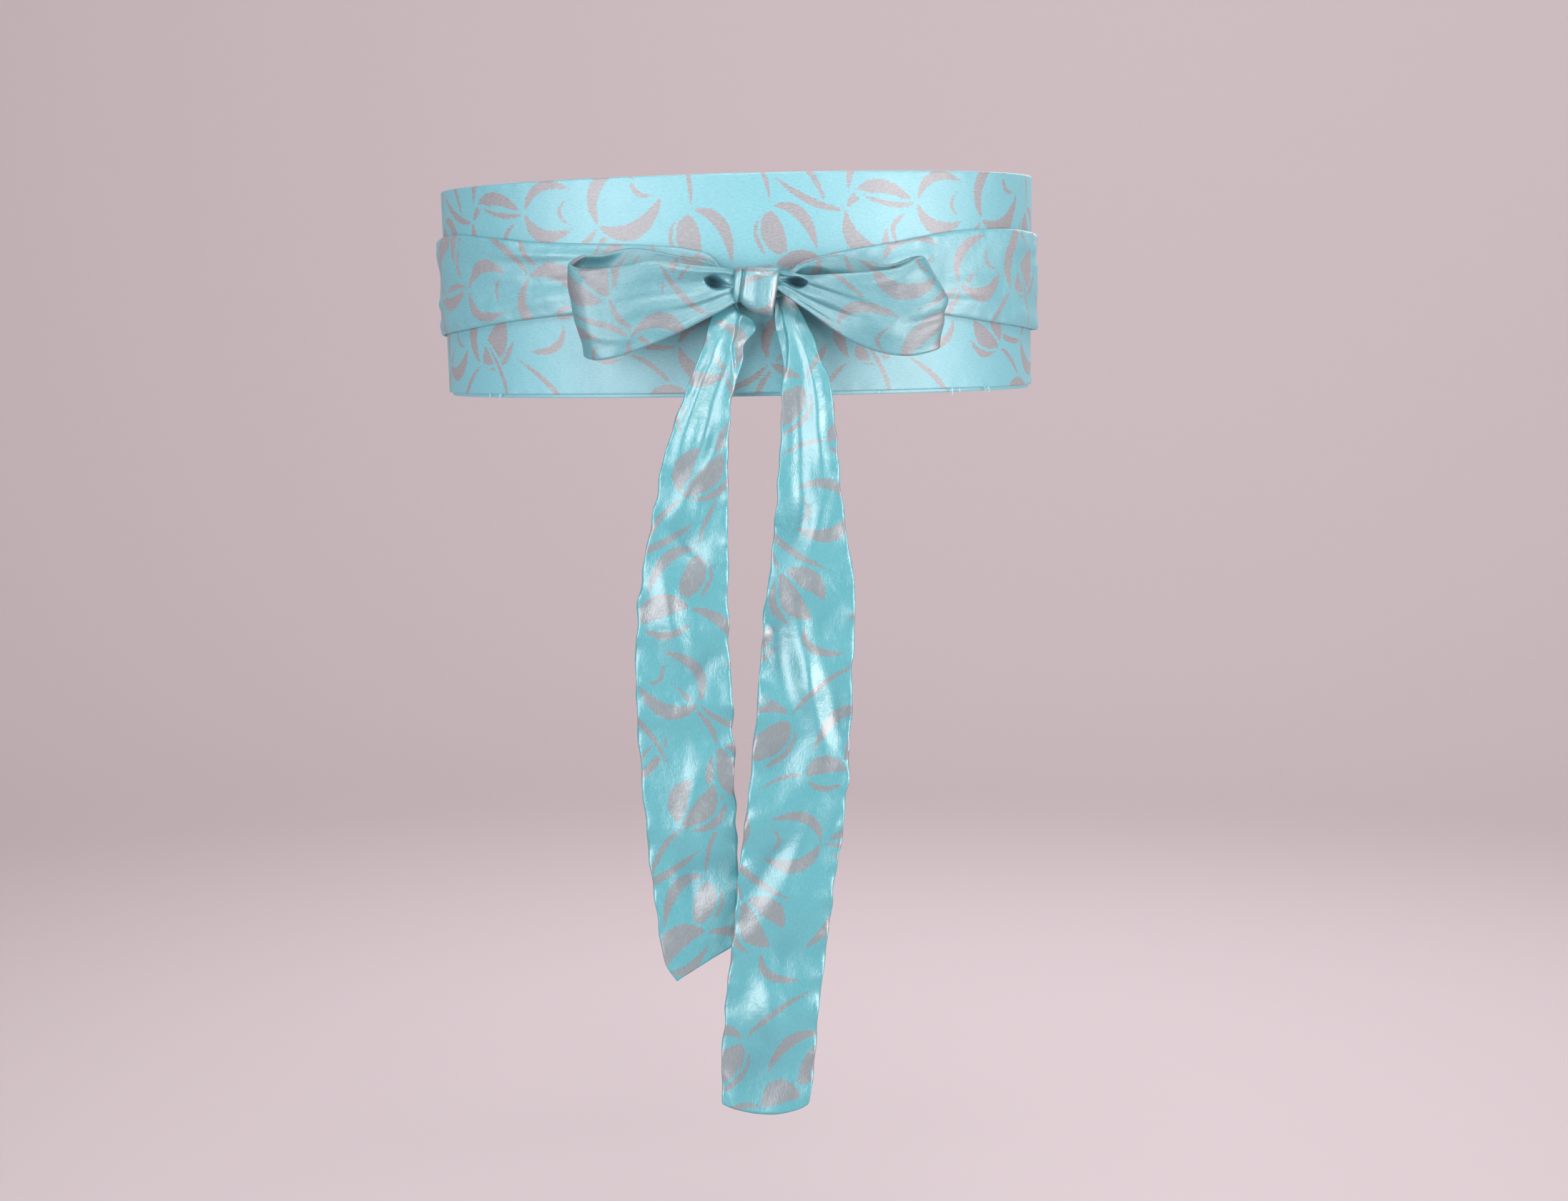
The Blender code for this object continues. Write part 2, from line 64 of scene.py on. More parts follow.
# Ties
TIE_WALL = 2.0
LOOP_WALL = 2.0
TAIL_WALL = 1.8
FOLD_INSIDE = 0.7  # how much of a fold's height shows on the inner face of a tie on the panel
LOOP_GATHERS = 2.5  # waves across a loop near the knot
LOOP_TIP_AT = 0.46  # where across its width the right loop's outer fold comes to a point
LOOP_TIP_SPREAD = 0.5

# Soft waves in the tails, which start where the tail has opened out below the knot
TAIL_TIGHT = 45.0
TAIL_OPENING = 60.0
BILLOW = 1.1
BILLOW_PITCH = 47.0
BILLOW_SLANT = 2.2  # radians that a billow turns from one edge to the other
BILLOW_AT_EDGE = 0.4
RUFFLE = 0.55
RUFFLE_PITCH = 17.0
RUFFLE_POWER = 6  # how closely the ruffle keeps to the edges
RUFFLE_TURN = 2.0  # radians between the ruffles of the two edges
PLEAT_SPREAD = 0.025  # how soft the step of a pleat is, as a share of the width
TAIL_END_SAG = 5.2
TAIL_END_REACH = 18.0
TAIL_END_ROUND = 0.6

# Knot
KNOT_BACK = 97.5
KNOT_ROUNDNESS = 4.0  # exponent of the band's section: 2 is an ellipse, more is squarer
KNOT_TALL = 20.0
KNOT_ROLL = 2.2  # how far the band's two ends roll inward
KNOT_AROUND = 66.0  # once round the band, for the print

# Spacing of the points of the fine shells, along and across
PANEL_STEP = (1.02, 0.98)
RING_STEPS = 2000  # for measuring along the oval
LINING_STEP = (4.0, 6.0)
WRAP_STEP = (0.8, 0.8)
LOOP_STEP = (0.62, 0.68)
TAIL_STEP = (0.8, 0.8)
KNOT_STEP = (0.6, 0.6)
HIDDEN_COLUMNS = 9  # across a face that lies against another piece

# Edges
EDGE_ROUND = 1.3  # how far in from its edge a tie takes to reach its full thickness
PANEL_EDGE_ROUND = 0.7
EDGE_STEPS = 5

# The print
PRINT_SIZE = (176.0, 142.0)
PRINT_STEP = 0.5
PRINT_FAR = 4.0
MOTIF_COLUMNS = 5
MOTIF_ROWS = 5
MOTIF_TURN = 137.5  # degrees from one motif to the next
MOTIF_SWAY = 15.0  # degrees that a motif's turn may stray
MOTIF_STRAY = 3.0
MOTIF_SIZES = (0.88, 1.15)
PRINT_SCALE = 0.92
PRINT_SEED = 12
BRUSH_STEPS = 40
BARE_LINE = 0.8  # cloth that is left bare round a stroke
RAG = 0.03  # how uneven a stroke's width is
RAG_PITCH = 5.0
RAG_PHASES = 6.0  # radians by which that unevenness may be shifted

# Small unevenness: height, pitch, how far it is drawn out along the piece, and how fast it changes
# across the piece, against 1 along it. An edge wave is given its places across as shares.
WAVES = {
    "panel_slack": (0.28, 70.0, 1.6, 1.0),
    "panel_pucker": (0.10, 11.0, 1.0, 0.2),
    "crease": (0.55, 24.0, 1.6, 1.0),
    "fine_crease": (0.10, 9.0, 1.6, 1.0),
    "tie_pucker": (0.28, 11.0, 1.0, 0.3),
    "tail_pucker": (0.4, 11.0, 1.0, 0.3),
    "tail_wave": (0.6, 27.0, 1.0, 0.6),
    "edge_wave": (0.35, 15.0, 1.0, 60.0),
    "knot_crease": (0.22, 9.0, 5.0, 2.2),
}
WAVE_COUNT = 8
WAVE_LENGTHS = (0.7, 1.5)  # as shares of the pitch

# Fine relief, and the painted shade that goes with it
TIE_WIDTH = 42.0
PANEL_SLACK_FADE = 12.0
PUCKER_REACH = 3.2
SWELL_SHOWN = 0.5
WRAP_LOWEST = -0.6  # how far a trough goes down in a tie on the panel
POCKET_LEAN = 1.5
POCKET_LEAST = 0.25
POCKET_POWER = 5
POCKET_SLOPE = 0.8
POCKET_SHADE_DEPTH = 4.5  # how deep a pocket has to be for its painted shade to be darkest
# how far an overhanging fold presses the cloth down for the painted shade below it to be darkest
STEP_SHADE_DEPTH = 4.0
STEP_SHARPNESS = 0.03
STEP_POWER = 0.7
TAIL_CRUMPLE = 0.6  # how much of a tie's small unevenness a hanging end shows
SHADE_PAINT_FROM = 0.6  # how far a fold goes down before painted shade starts to darken its colour
# how much further down the painted shade reaches its darkest
SHADE_PAINT_DEPTH = 5.5
MOUTH_SHADE_AT = 0.53  # where along a loop the painted shade on the inner face of its open end is darkest
MOUTH_SHADE_SPREAD = 0.085
# how dark the painted shade inside a loop's open end gets, from 0 to 1
MOUTH_SHADE = 0.3
EDGE_WAVE_POWER = 4

# Added to a tail's seed, for draws that differ from those of its creases
TAIL_PUCKER_DRAW = 3
EDGE_WAVE_DRAW = 5
TAIL_WAVE_DRAW = 7

# Loose threads: from and to which angle round the waist, and how many
THREAD_PLACES = ((38.0, 56.0, 9), (20.0, 30.0, 3), (-62.0, -48.0, 3), (150.0, 165.0, 4))
THREAD_LENGTH = (1.2, 3.4)
THREAD_STEPS = 7
THREAD_RADIUS = 0.13
THREAD_ROOT = 0.4  # above the panel's lower edge
THREAD_CURL = 0.6
THREAD_OUT = 0.1
THREAD_LIFT = 0.3
THREAD_DROOP = 0.5
TUBE_SIDES = 6
TUBE_ASIDE = (0.3, 0.5, 0.8)  # a direction that no thread runs in

# Where each printed piece is cut from the cloth: the place of its start, and its turn in degrees
CUTS = {
    "panel_cloth": (20.0, 30.0, 0.0),
    "left_wrap": (60.0, 10.0, 184.0),
    "right_wrap": (112.0, 64.0, -3.0),
    "left_loop": (84.0, 72.0, 176.0),
    "right_loop": (116.0, 72.0, 4.0),
    "left_tail": (36.0, 20.0, 90.0),
    "right_tail": (118.0, 40.0, 92.0),
    "knot": (40.0, 24.0, 80.0),
}

# The seed of each piece's small unevenness
SEEDS = {
    "left_wrap": 21, "right_wrap": 31, "left_loop": 41, "right_loop": 51, "left_tail": 61,
    "right_tail": 71, "knot": 81, "loose_threads": 91, "panel_slack": 3, "panel_pucker": 5,
}

# The satins: the ground's two colours, the print's two, bump, roughness and specular level. The
# ties are one cloth, given a copy for each part with its colours made lighter or darker for how
# light falls there: painted light and shade.
SATINS = {
    "panel_satin": (
        ((0.114, 0.378, 0.442), (0.190, 0.486, 0.556)),
        ((0.196, 0.185, 0.198), (0.338, 0.326, 0.351)), 0.25, 0.50, 0.62,
    ),
    # the loops: the tie's cloth, painted darker as shade
    "tie_satin": (
        ((0.043, 0.218, 0.260), (0.094, 0.316, 0.366)),
        ((0.106, 0.119, 0.133), (0.197, 0.215, 0.238)), 0.7, 0.50, 0.72,
    ),
    # the ties on the panel: the same cloth, painted lighter as light
    "wrap_satin": (
        ((0.095, 0.335, 0.395), (0.165, 0.455, 0.520)),
        ((0.195, 0.190, 0.210), (0.335, 0.330, 0.355)), 0.7, 0.50, 0.72,
    ),
    # the tails: the same cloth, with its own painted light and shade
    "hanging_satin": (
        ((0.050, 0.285, 0.330), (0.074, 0.370, 0.422)),
        ((0.150, 0.180, 0.195), (0.215, 0.250, 0.270)), 0.7, 0.36, 0.72,
    ),
    "thread_satin": (((0.30, 0.58, 0.62), (0.52, 0.76, 0.80)), None, 0.7, 0.50, 0.72),
    # the knot: the same cloth, with its own painted light and shade
    "knot_satin": (
        ((0.057, 0.253, 0.296), (0.117, 0.356, 0.407)),
        ((0.120, 0.132, 0.147), (0.222, 0.239, 0.262)), 0.7, 0.40, 0.85,
    ),
    "lining_cloth": (((0.15, 0.43, 0.49), (0.20, 0.50, 0.57)), None, 0.25, 0.50, 0.62),
}

# All satin
PAINTED_SHADE_TINT = (0.10, 0.36, 0.46)  # painted shade: what a deep fold leaves of the cloth's colour
PRINT_COVER = 0.96
GRAIN_SCALE = 1.5
GRAIN_DETAIL = 2.0
GRAIN_ROUGH = 0.6
STREAK_STRETCH = 0.3  # the scale of the satin's streaks along the cloth, against 1 across it
GRAIN_EDGE = 0.7
GRAIN_BUMP = 0.06
NOISE_LOW = 0.3  # from here to NOISE_HIGH is the part of the noise that the grain uses
NOISE_HIGH = 0.7
MOTTLE_SCALE = 0.09
SOFT_DETAIL = 3.0
RAGGED_SCALE = 1.1
RAGGED_SIZE = 1.5
RAGGED_ROUGH = 0.65
EDGE_SOFT = 0.12
STROKE_THIN = 0.3  # how far the silver stops inside a stroke's drawn edge
ROUGHNESS_SPREAD = 0.06
SATIN_IOR = 1.9
SHEEN = 0.08
SHEEN_ROUGHNESS = 0.4
SHEEN_TINT = (0.85, 0.97, 1.0)

# Studio, in metres
FLOOR_HEIGHT = -0.60
WALL_AT = 3.4
WALL_BEND = 1.5
WALL_TOP = 1.8
WALL_SIDES = 64
BEND_STEPS = 16
BACKDROP = (0.585, 0.505, 0.525)
BACKDROP_ROUGHNESS = 0.9
LAMP_SPREAD = np.radians(105.0)
WALL_SPREAD = np.pi
WARM = (1.0, 0.99, 0.985)
COOL = (0.96, 0.98, 1.0)
PALE = (1.0, 0.99, 0.99)

# The lamps: name, place, target, width, height, watts, colour and spread
LAMPS = (
    ("window", (1.35, -1.10, -0.10), (0.0, -0.1, -0.04), 1.2, 1.0, 9.0, WARM, LAMP_SPREAD),
    ("top", (0.10, -1.00, 1.00), (0.0, -0.1, -0.1), 0.6, 0.4, 3.3, WARM, LAMP_SPREAD),
    ("fill", (-1.15, -1.45, -0.05), (0.0, 0.0, 0.0), 1.4, 1.4, 11.0, COOL, LAMP_SPREAD),
    ("behind", (0.6, 1.8, 0.9), (0.0, 0.0, -0.05), 1.6, 1.0, 9.0, COOL, LAMP_SPREAD),
    ("wall_light", (0.5, 1.0, 2.6), (0.6, WALL_AT, 0.0), 2.0, 0.8, 66.0, PALE, WALL_SPREAD),
)

SURROUND = (0.90, 0.86, 0.88)
SURROUND_STRENGTH = 0.30

# Camera, in metres and radians
CAMERA_PLACE = (0.0, -1.160, -0.0177)
LENS = 57.18
SENSOR = 36.0
PITCH = np.radians(6.32)
PAN = np.radians(-0.88)
ROLL = np.radians(1.19)


def table(columns, rows):
    """The rows as a dict from each column's name to its values."""
    return dict(zip(columns.split(), np.array(rows, float).T))


# The ties round the waist, from the knot to the end that is sewn to the panel. The angle is 0 at
# the front and 90 at +X, top and bottom are heights, and out is how far the tie's inner face
# stands off the panel.
WRAP_COLUMNS = "angle top bottom out"
WRAP_LEFT = table(WRAP_COLUMNS, [
    (3.1, 2.6, -7.6, 3.2),
    (0.4, 2.6, -5.0, 3.4),
    (-1.2, 2.0, -4.0, 3.5),
    (-4.8, 11.6, -7.0, 2.2),
    (-9.2, 15.0, -8.6, 1.2),
    (-15.6, 16.8, -9.4, 0.6),
    (-22.3, 17.7, -10.2, 0.4),
    (-40.3, 19.9, -12.8, 0.4),
    (-53.8, 22.8, -15.2, 0.4),
    (-64.1, 24.7, -17.2, 0.4),
    (-79.7, 24.1, -18.9, 0.5),
    (-102.0, 22.6, -20.6, 0.6),
    (-128.0, 21.6, -20.4, 0.5),
    (-150.0, 21.6, -15.0, 0.5),
    (-164.0, 25.5, -3.0, 0.6),
    (-173.0, 28.6, 2.4, 0.7),
    (-180.0, 29.4, 3.6, -0.2),
    (-187.28, 29.4, 3.2, -1.6),
])
WRAP_RIGHT = table(WRAP_COLUMNS, [
    (3.4, 2.6, -8.6, 3.2),
    (5.6, 2.8, -9.4, 3.4),
    (7.5, 1.6, -8.6, 3.9),
    (10.5, 7.6, -8.0, 2.4),
    (16.0, 11.3, -8.6, 1.2),
    (23.0, 14.3, -9.8, 0.6),
    (30.1, 16.6, -11.4, 0.4),
    (42.5, 20.9, -15.4, 0.4),
    (58.7, 22.4, -19.2, 0.4),
    (81.2, 21.3, -22.2, 0.5),
    (104.0, 20.8, -22.6, 0.6),
    (128.0, 20.2, -22.2, 0.5),
    (150.0, 14.4, -23.2, 0.5),
    (164.0, 2.0, -26.6, 0.6),
    (173.0, -3.4, -29.4, 0.7),
    (180.0, -4.2, -30.2, -0.2),
    (187.28, -3.8, -30.0, -1.6),
])

# The bow's loops, from the neck along the front, round the outer fold and back behind: the
# upper and the lower edge's X and Z, the Y of both, how far the middle swells out, how deep the
# gathers are, and how far the outer fold comes to a point.
LOOP_COLUMNS = "x_top z_top x_low z_low y swell gather tip"
LOOP_LEFT = table(LOOP_COLUMNS, [
    (6.0, 4.6, 6.0, -8.0, -109.2, 0.0, 0.0, 0.0),
    (-2.2, 5.4, -2.0, -8.4, -109.8, 0.0, 0.3, 0.0),
    (-5.6, 6.2, -5.4, -10.2, -111.2, 0.2, 0.5, 0.0),
    (-16.7, 7.4, -19.0, -17.2, -115.6, 1.0, 0.9, 0.0),
    (-37.8, 9.8, -38.5, -25.4, -118.2, 1.6, 0.4, 0.0),
    (-55.0, 7.2, -53.5, -30.2, -117.6, 1.8, 0.0, 0.0),
    (-66.0, 7.2, -61.0, -30.9, -115.0, 1.4, 0.0, 0.0),
    (-71.0, 9.6, -64.6, -29.6, -109.6, 1.0, 0.0, 0.0),
    (-67.6, 12.7, -61.5, -27.0, -104.0, 1.0, 0.0, 0.0),
    (-57.5, 13.2, -52.0, -22.0, -101.8, 1.2, 0.0, 0.0),
    (-45.0, 15.7, -38.0, -16.4, -101.6, 1.0, 0.3, 0.0),
    (-27.0, 12.4, -24.0, -11.4, -103.8, 0.6, 0.5, 0.0),
    (-10.0, 8.2, -10.0, -8.4, -106.6, 0.0, 0.3, 0.0),
    (-2.5, 3.2, 0.2, -4.6, -107.0, 0.0, 0.0, 0.0),
    (7.4, 3.4, 7.4, -8.6, -107.0, 0.0, 0.0, 0.0),
])
LOOP_RIGHT = table(LOOP_COLUMNS, [
    (8.0, 4.6, 8.0, -3.0, -109.2, 0.0, 0.0, 0.0),
    (16.4, 5.0, 16.2, -3.4, -109.8, 0.0, 0.2, 0.0),
    (20.2, 4.4, 20.2, -6.2, -111.4, 0.2, 0.4, 0.0),
    (28.0, 2.6, 28.5, -12.4, -114.6, 0.8, 0.4, 0.0),
    (38.0, 2.8, 39.0, -20.4, -117.4, 1.3, 0.3, 0.0),
    (53.0, 3.4, 51.0, -27.4, -118.6, 1.6, 0.0, 1.0),
    (66.0, 5.0, 63.5, -31.2, -118.0, 1.6, 0.0, 3.4),
    (72.8, 8.4, 74.0, -31.6, -115.4, 1.4, 0.0, 6.4),
    (75.4, 9.8, 83.2, -28.8, -109.8, 0.8, 0.0, 7.4),
    (72.6, 9.6, 75.0, -27.0, -104.2, 0.8, 0.0, 6.4),
    (62.0, 6.4, 62.0, -24.0, -102.0, 1.2, 0.0, 2.4),
    (50.0, 9.0, 48.5, -18.4, -101.6, 1.2, 0.2, 0.4),
    (41.0, 10.8, 38.0, -13.4, -102.4, 0.8, 0.4, 0.0),
    (26.0, 7.4, 26.0, -5.4, -105.8, 0.3, 0.3, 0.0),
    (17.4, 3.2, 15.4, -6.4, -107.0, 0.0, 0.0, 0.0),
    (7.8, 3.4, 7.8, -8.8, -107.0, 0.0, 0.0, 0.0),
])

# The tails, from inside the knot to the free end: the X and Z of the left and right edge, the Y,
# and the step where a pleat lies behind: where across the width it is, and how deep.
TAIL_COLUMNS = "x_left z_left x_right z_right y step_at step"
TAIL_LEFT = table(TAIL_COLUMNS, [
    (5.0, 1.4, 5.4, -7.6, -104.1, 0.5, 0.0),
    (-0.6, 1.0, 0.4, -4.6, -104.1, 0.5, 0.0),
    (-5.2, -2.0, -1.0, -8.2, -104.4, 0.6, 0.6),
    (-8.8, -7.6, 0.6, -12.4, -104.6, 0.84, 1.8),
    (-11.6, -13.2, 6.0, -15.4, -105.6, 0.62, 3.2),
    (-13.8, -19.4, 6.2, -19.6, -107.2, 0.62, 3.6),
    (-15.0, -23.2, 3.8, -23.0, -108.0, 0.68, 3.2),
    (-16.2, -27.0, 1.8, -26.4, -108.6, 0.72, 2.4),
    (-17.8, -31.4, 1.2, -31.4, -109.0, 0.78, 1.8),
    (-20.4, -37.4, -1.0, -38.0, -109.4, 0.92, 0.9),
    (-24.9, -48.5, -3.9, -48.7, -109.8, 1.0, 0.0),
    (-33.3, -72.4, -6.0, -72.6, -110.8, 1.0, 0.0),
    (-38.4, -96.4, -6.7, -96.8, -111.6, 1.0, 0.0),
    (-43.6, -120.4, -7.1, -121.0, -112.0, 1.0, 0.0),
    (-46.7, -145.0, -7.6, -145.4, -111.8, 1.0, 0.0),
    (-47.5, -181.4, -6.5, -182.0, -111.0, 1.0, 0.0),
    (-45.7, -218.4, -6.5, -219.0, -109.6, 1.0, 0.0),
    (-42.9, -256.0, -5.9, -254.0, -108.6, 1.0, 0.0),
    (-39.9, -281.0, -6.9, -271.0, -108.2, 1.0, 0.0),
    (-38.2, -291.4, -7.2, -277.6, -108.2, 1.0, 0.0),
    (-34.0, -298.8, -7.6, -282.6, -108.2, 1.0, 0.0),
])
TAIL_RIGHT = table(TAIL_COLUMNS, [
    (9.2, -9.2, 9.2, -1.4, -104.1, 0.5, 0.0),
    (14.4, -10.2, 15.8, 0.0, -104.1, 0.5, 0.0),
    (14.8, -14.0, 20.6, -4.6, -104.2, 0.4, -0.4),
    (15.0, -19.0, 26.2, -13.2, -105.4, 0.32, -2.0),
    (16.2, -24.6, 30.6, -22.0, -107.4, 0.25, -2.4),
    (17.8, -33.4, 34.2, -32.4, -109.2, 0.1, -1.2),
    (17.0, -45.2, 37.8, -44.2, -110.8, 0.0, 0.0),
    (16.0, -61.2, 39.2, -61.4, -112.4, 0.0, 0.0),
    (14.4, -85.2, 41.2, -85.6, -114.0, 0.0, 0.0),
    (11.9, -109.2, 43.6, -109.8, -115.0, 0.0, 0.0),
    (8.1, -133.4, 46.2, -134.2, -115.6, 0.0, 0.0),
    (5.6, -157.8, 44.9, -158.6, -115.8, 0.0, 0.0),
    (1.9, -194.4, 43.0, -195.2, -115.8, 0.0, 0.0),
    (-3.2, -231.4, 39.2, -232.2, -115.6, 0.0, 0.0),
    (-7.9, -268.6, 33.1, -269.4, -115.4, 0.0, 0.0),
    (-12.5, -306.0, 28.0, -307.0, -115.0, 0.0, 0.0),
    (-15.2, -340.0, 24.2, -341.0, -114.6, 0.0, 0.0),
    (-15.2, -350.6, 22.6, -351.6, -114.5, 0.0, 0.0),
])

# The knot's band, from -X to +X: X where it crosses the top and the bottom, its highest and
# lowest point, and how far it reaches in front. The dip in the middle parts its two turns.
KNOT_BAND = table("x_top x_low top low front", [
    (-1.8, -2.8, 5.6, -6.2, 112.6),
    (-0.6, -2.2, 6.6, -7.6, 113.7),
    (1.2, -1.2, 6.8, -8.0, 114.0),
    (2.4, 0.2, 6.0, -7.4, 112.4),
    (3.4, 1.0, 6.6, -8.8, 114.2),
    (6.0, 4.0, 6.6, -11.4, 115.0),
    (10.0, 7.6, 6.6, -12.8, 115.2),
    (14.0, 11.2, 6.5, -13.6, 114.7),
    (16.8, 13.4, 6.3, -14.0, 113.7),
    (17.6, 14.1, 5.6, -13.0, 112.4),
])

# Pockets in the loops beside the knot, along the loop in millimetres and across it as a share:
# where each starts and ends, how tall half of it is at its widest, and how deep.
POCKET_COLUMNS = "start end across_start across_end half_height depth"
LOOP_LEFT_POCKETS = table(POCKET_COLUMNS, [
    (8.5, 22.5, 0.50, 0.22, 2.2, 6.6),
    (120.0, 152.0, 0.46, 0.46, 4.0, -2.6),
])
LOOP_RIGHT_POCKETS = table(POCKET_COLUMNS, [
    (8.5, 23.5, 0.48, 0.17, 1.8, 7.4),
    (112.0, 142.0, 0.46, 0.46, 4.0, -2.8),
])

# Overhanging folds: where each starts and ends along its piece and across it, as shares, how far
# it overhangs, and how far across the piece its two sides reach.
STEP_COLUMNS = "start end across_start across_end height reach"
LOOP_LEFT_STEPS = table(STEP_COLUMNS, [
    (0.03, 0.16, 0.20, 0.10, 0.9, 0.10),
])
LOOP_RIGHT_STEPS = table(STEP_COLUMNS, [
    (0.12, 0.34, 0.17, 0.44, 1.6, 0.22),
    (0.03, 0.14, 0.26, 0.08, 0.9, 0.08),
])

# The main folds: where each starts and ends along its piece and across it, as shares from 0 to 1,
# how high it stands, with troughs below 0, and how wide it is across the piece.
FOLD_COLUMNS = "start end across_start across_end height spread"
WRAP_LEFT_FOLDS = table(FOLD_COLUMNS, [
    (0.02, 0.26, 0.30, 0.42, 1.0, 0.10),
    (0.03, 0.30, 0.62, 0.80, 0.9, 0.09),
    (0.03, 0.34, 0.14, 0.20, 0.7, 0.05),
    (0.04, 0.22, 0.46, 0.60, 0.6, 0.05),
    (0.12, 0.40, 0.50, 0.62, -0.5, 0.06),
    (0.34, 0.56, 0.60, 0.74, 0.7, 0.05),
    (0.40, 0.66, 0.88, 0.94, 0.8, 0.05),
    (0.16, 0.36, 0.16, 0.16, 1.0, 0.08),
    (0.24, 0.44, 0.78, 0.92, 1.1, 0.08),
    (0.46, 0.72, 0.30, 0.45, 0.9, 0.10),
    (0.58, 0.88, 0.72, 0.60, 1.0, 0.09),
    (0.78, 1.02, 0.30, 0.42, 1.1, 0.10),
])
WRAP_RIGHT_FOLDS = table(FOLD_COLUMNS, [
    (0.02, 0.24, 0.36, 0.26, 1.0, 0.10),
    (0.04, 0.32, 0.68, 0.60, 0.9, 0.10),
    (0.04, 0.26, 0.50, 0.44, 0.6, 0.05),
    (0.10, 0.36, 0.86, 0.76, 0.7, 0.05),
    (0.36, 0.60, 0.36, 0.30, 0.7, 0.05),
    (0.22, 0.46, 0.84, 0.90, 1.1, 0.08),
    (0.28, 0.50, 0.16, 0.14, 0.9, 0.08),
    (0.50, 0.78, 0.62, 0.50, 0.9, 0.10),
    (0.62, 0.90, 0.24, 0.34, 1.0, 0.09),
    (0.80, 1.02, 0.66, 0.58, 1.1, 0.10),
])
LOOP_LEFT_FOLDS = table(FOLD_COLUMNS, [
    (0.05, 0.30, 0.62, 0.58, 0.8, 0.05),
    (0.05, 0.24, 0.80, 0.88, -0.7, 0.05),
    (0.10, 0.42, 0.46, 0.40, -0.6, 0.05),
    (0.05, 0.26, 0.12, 0.08, 0.6, 0.04),
    (0.30, 0.47, 0.88, 0.70, 0.7, 0.06),
    (0.08, 0.40, 0.62, 0.84, 0.9, 0.10),
    (0.36, 0.58, 0.16, 0.30, 0.8, 0.12),
    (0.62, 0.92, 0.30, 0.45, 0.9, 0.12),
    (0.62, 0.92, 0.18, 0.18, -3.0, 0.34),
    (0.48, 0.66, 0.00, 0.02, -2.6, 0.06),
])
LOOP_RIGHT_FOLDS = table(FOLD_COLUMNS, [
    (0.06, 0.28, 0.74, 0.80, 0.8, 0.05),
    (0.06, 0.34, 0.60, 0.66, -0.7, 0.05),
    (0.05, 0.26, 0.92, 0.96, 0.5, 0.04),
    (0.28, 0.46, 0.20, 0.10, 0.7, 0.06),
    (0.14, 0.44, 0.34, 0.86, 0.8, 0.12),
    (0.38, 0.56, 0.66, 0.60, -1.2, 0.07),
    (0.62, 0.92, 0.34, 0.42, 0.9, 0.12),
    (0.60, 0.92, 0.20, 0.20, -3.0, 0.36),
])
TAIL_LEFT_FOLDS = table(FOLD_COLUMNS, [
    (0.06, 0.30, 0.32, 0.22, 1.6, 0.12),
    (0.10, 0.36, 0.66, 0.56, -1.3, 0.12),
    (0.22, 0.38, 0.90, 0.20, 1.6, 0.16),
    (0.34, 0.44, 0.10, 0.80, -1.4, 0.18),
    (0.40, 0.60, 0.20, 0.55, 2.0, 0.14),
    (0.52, 0.64, 0.95, 0.30, -1.3, 0.18),
    (0.66, 0.86, 0.75, 0.35, 1.9, 0.15),
    (0.80, 0.97, 0.20, 0.60, -1.2, 0.18),
])
TAIL_RIGHT_FOLDS = table(FOLD_COLUMNS, [
    (0.04, 0.26, 0.62, 0.72, 1.6, 0.12),
    (0.12, 0.34, 0.34, 0.40, -1.3, 0.12),
    (0.24, 0.36, 0.85, 0.30, 1.6, 0.16),
    (0.36, 0.58, 0.24, 0.78, 2.6, 0.13),
    (0.38, 0.54, 0.02, 0.40, -1.8, 0.16),
    (0.44, 0.60, 0.60, 1.00, -1.4, 0.14),
    (0.60, 0.76, 0.80, 0.40, 1.9, 0.14),
    (0.66, 0.80, 0.30, 0.05, -1.4, 0.18),
    (0.80, 0.95, 0.30, 0.60, 1.7, 0.15),
])


def smooth(at, knots, values):
    """A smooth curve that passes through the values at the knots, read at the places in at."""
    slopes = np.gradient(values, knots)
    low = np.clip(np.searchsorted(knots, at, side="right") - 1, 0, len(knots) - 2)
    step = knots[low + 1] - knots[low]
    t = (at - knots[low]) / step
    start = (2 * t**3 - 3 * t**2 + 1) * values[low]
    leave = (t**3 - 2 * t**2 + t) * step * slopes[low]
    end = (3 * t**2 - 2 * t**3) * values[low + 1]
    arrive = (t**3 - t**2) * step * slopes[low + 1]
    return start + leave + end + arrive


def resampled(rows, points, step):
    """The table's values at even steps along the line through its points, and the run along it.

    Each comes as a grid of one column, which spreads over a face's places across.
    """
    lengths = np.linalg.norm(np.diff(points, axis=0), axis=1)
    run = np.concatenate([[0.0], np.cumsum(lengths)])
    at = np.linspace(0.0, run[-1], int(run[-1] / step))
    return {name: smooth(at, run, values)[:, None] for name, values in rows.items()}, at[:, None]


def waist(angle, height, out):
    """Points round the waist: out is how far they stand off the panel's outer face."""
    angle, height, out = np.broadcast_arrays(angle, height, out)
    half_width = WAIST_HALF_WIDTH + WAIST_FLARE * height
    turn = np.radians(angle)
    ring = np.stack([half_width * np.sin(turn), -WAIST_HALF_DEPTH * np.cos(turn)], -1)
    normal = np.stack([np.sin(turn) / half_width, -np.cos(turn) / WAIST_HALF_DEPTH], -1)
    normal /= np.linalg.norm(normal, axis=-1, keepdims=True)
    return np.concatenate([ring + normal * out[..., None], height[..., None]], -1)


def each(rows):
    """The rows of a table one after another, each as a dict."""
    for values in zip(*rows.values()):
        yield dict(zip(rows, values))


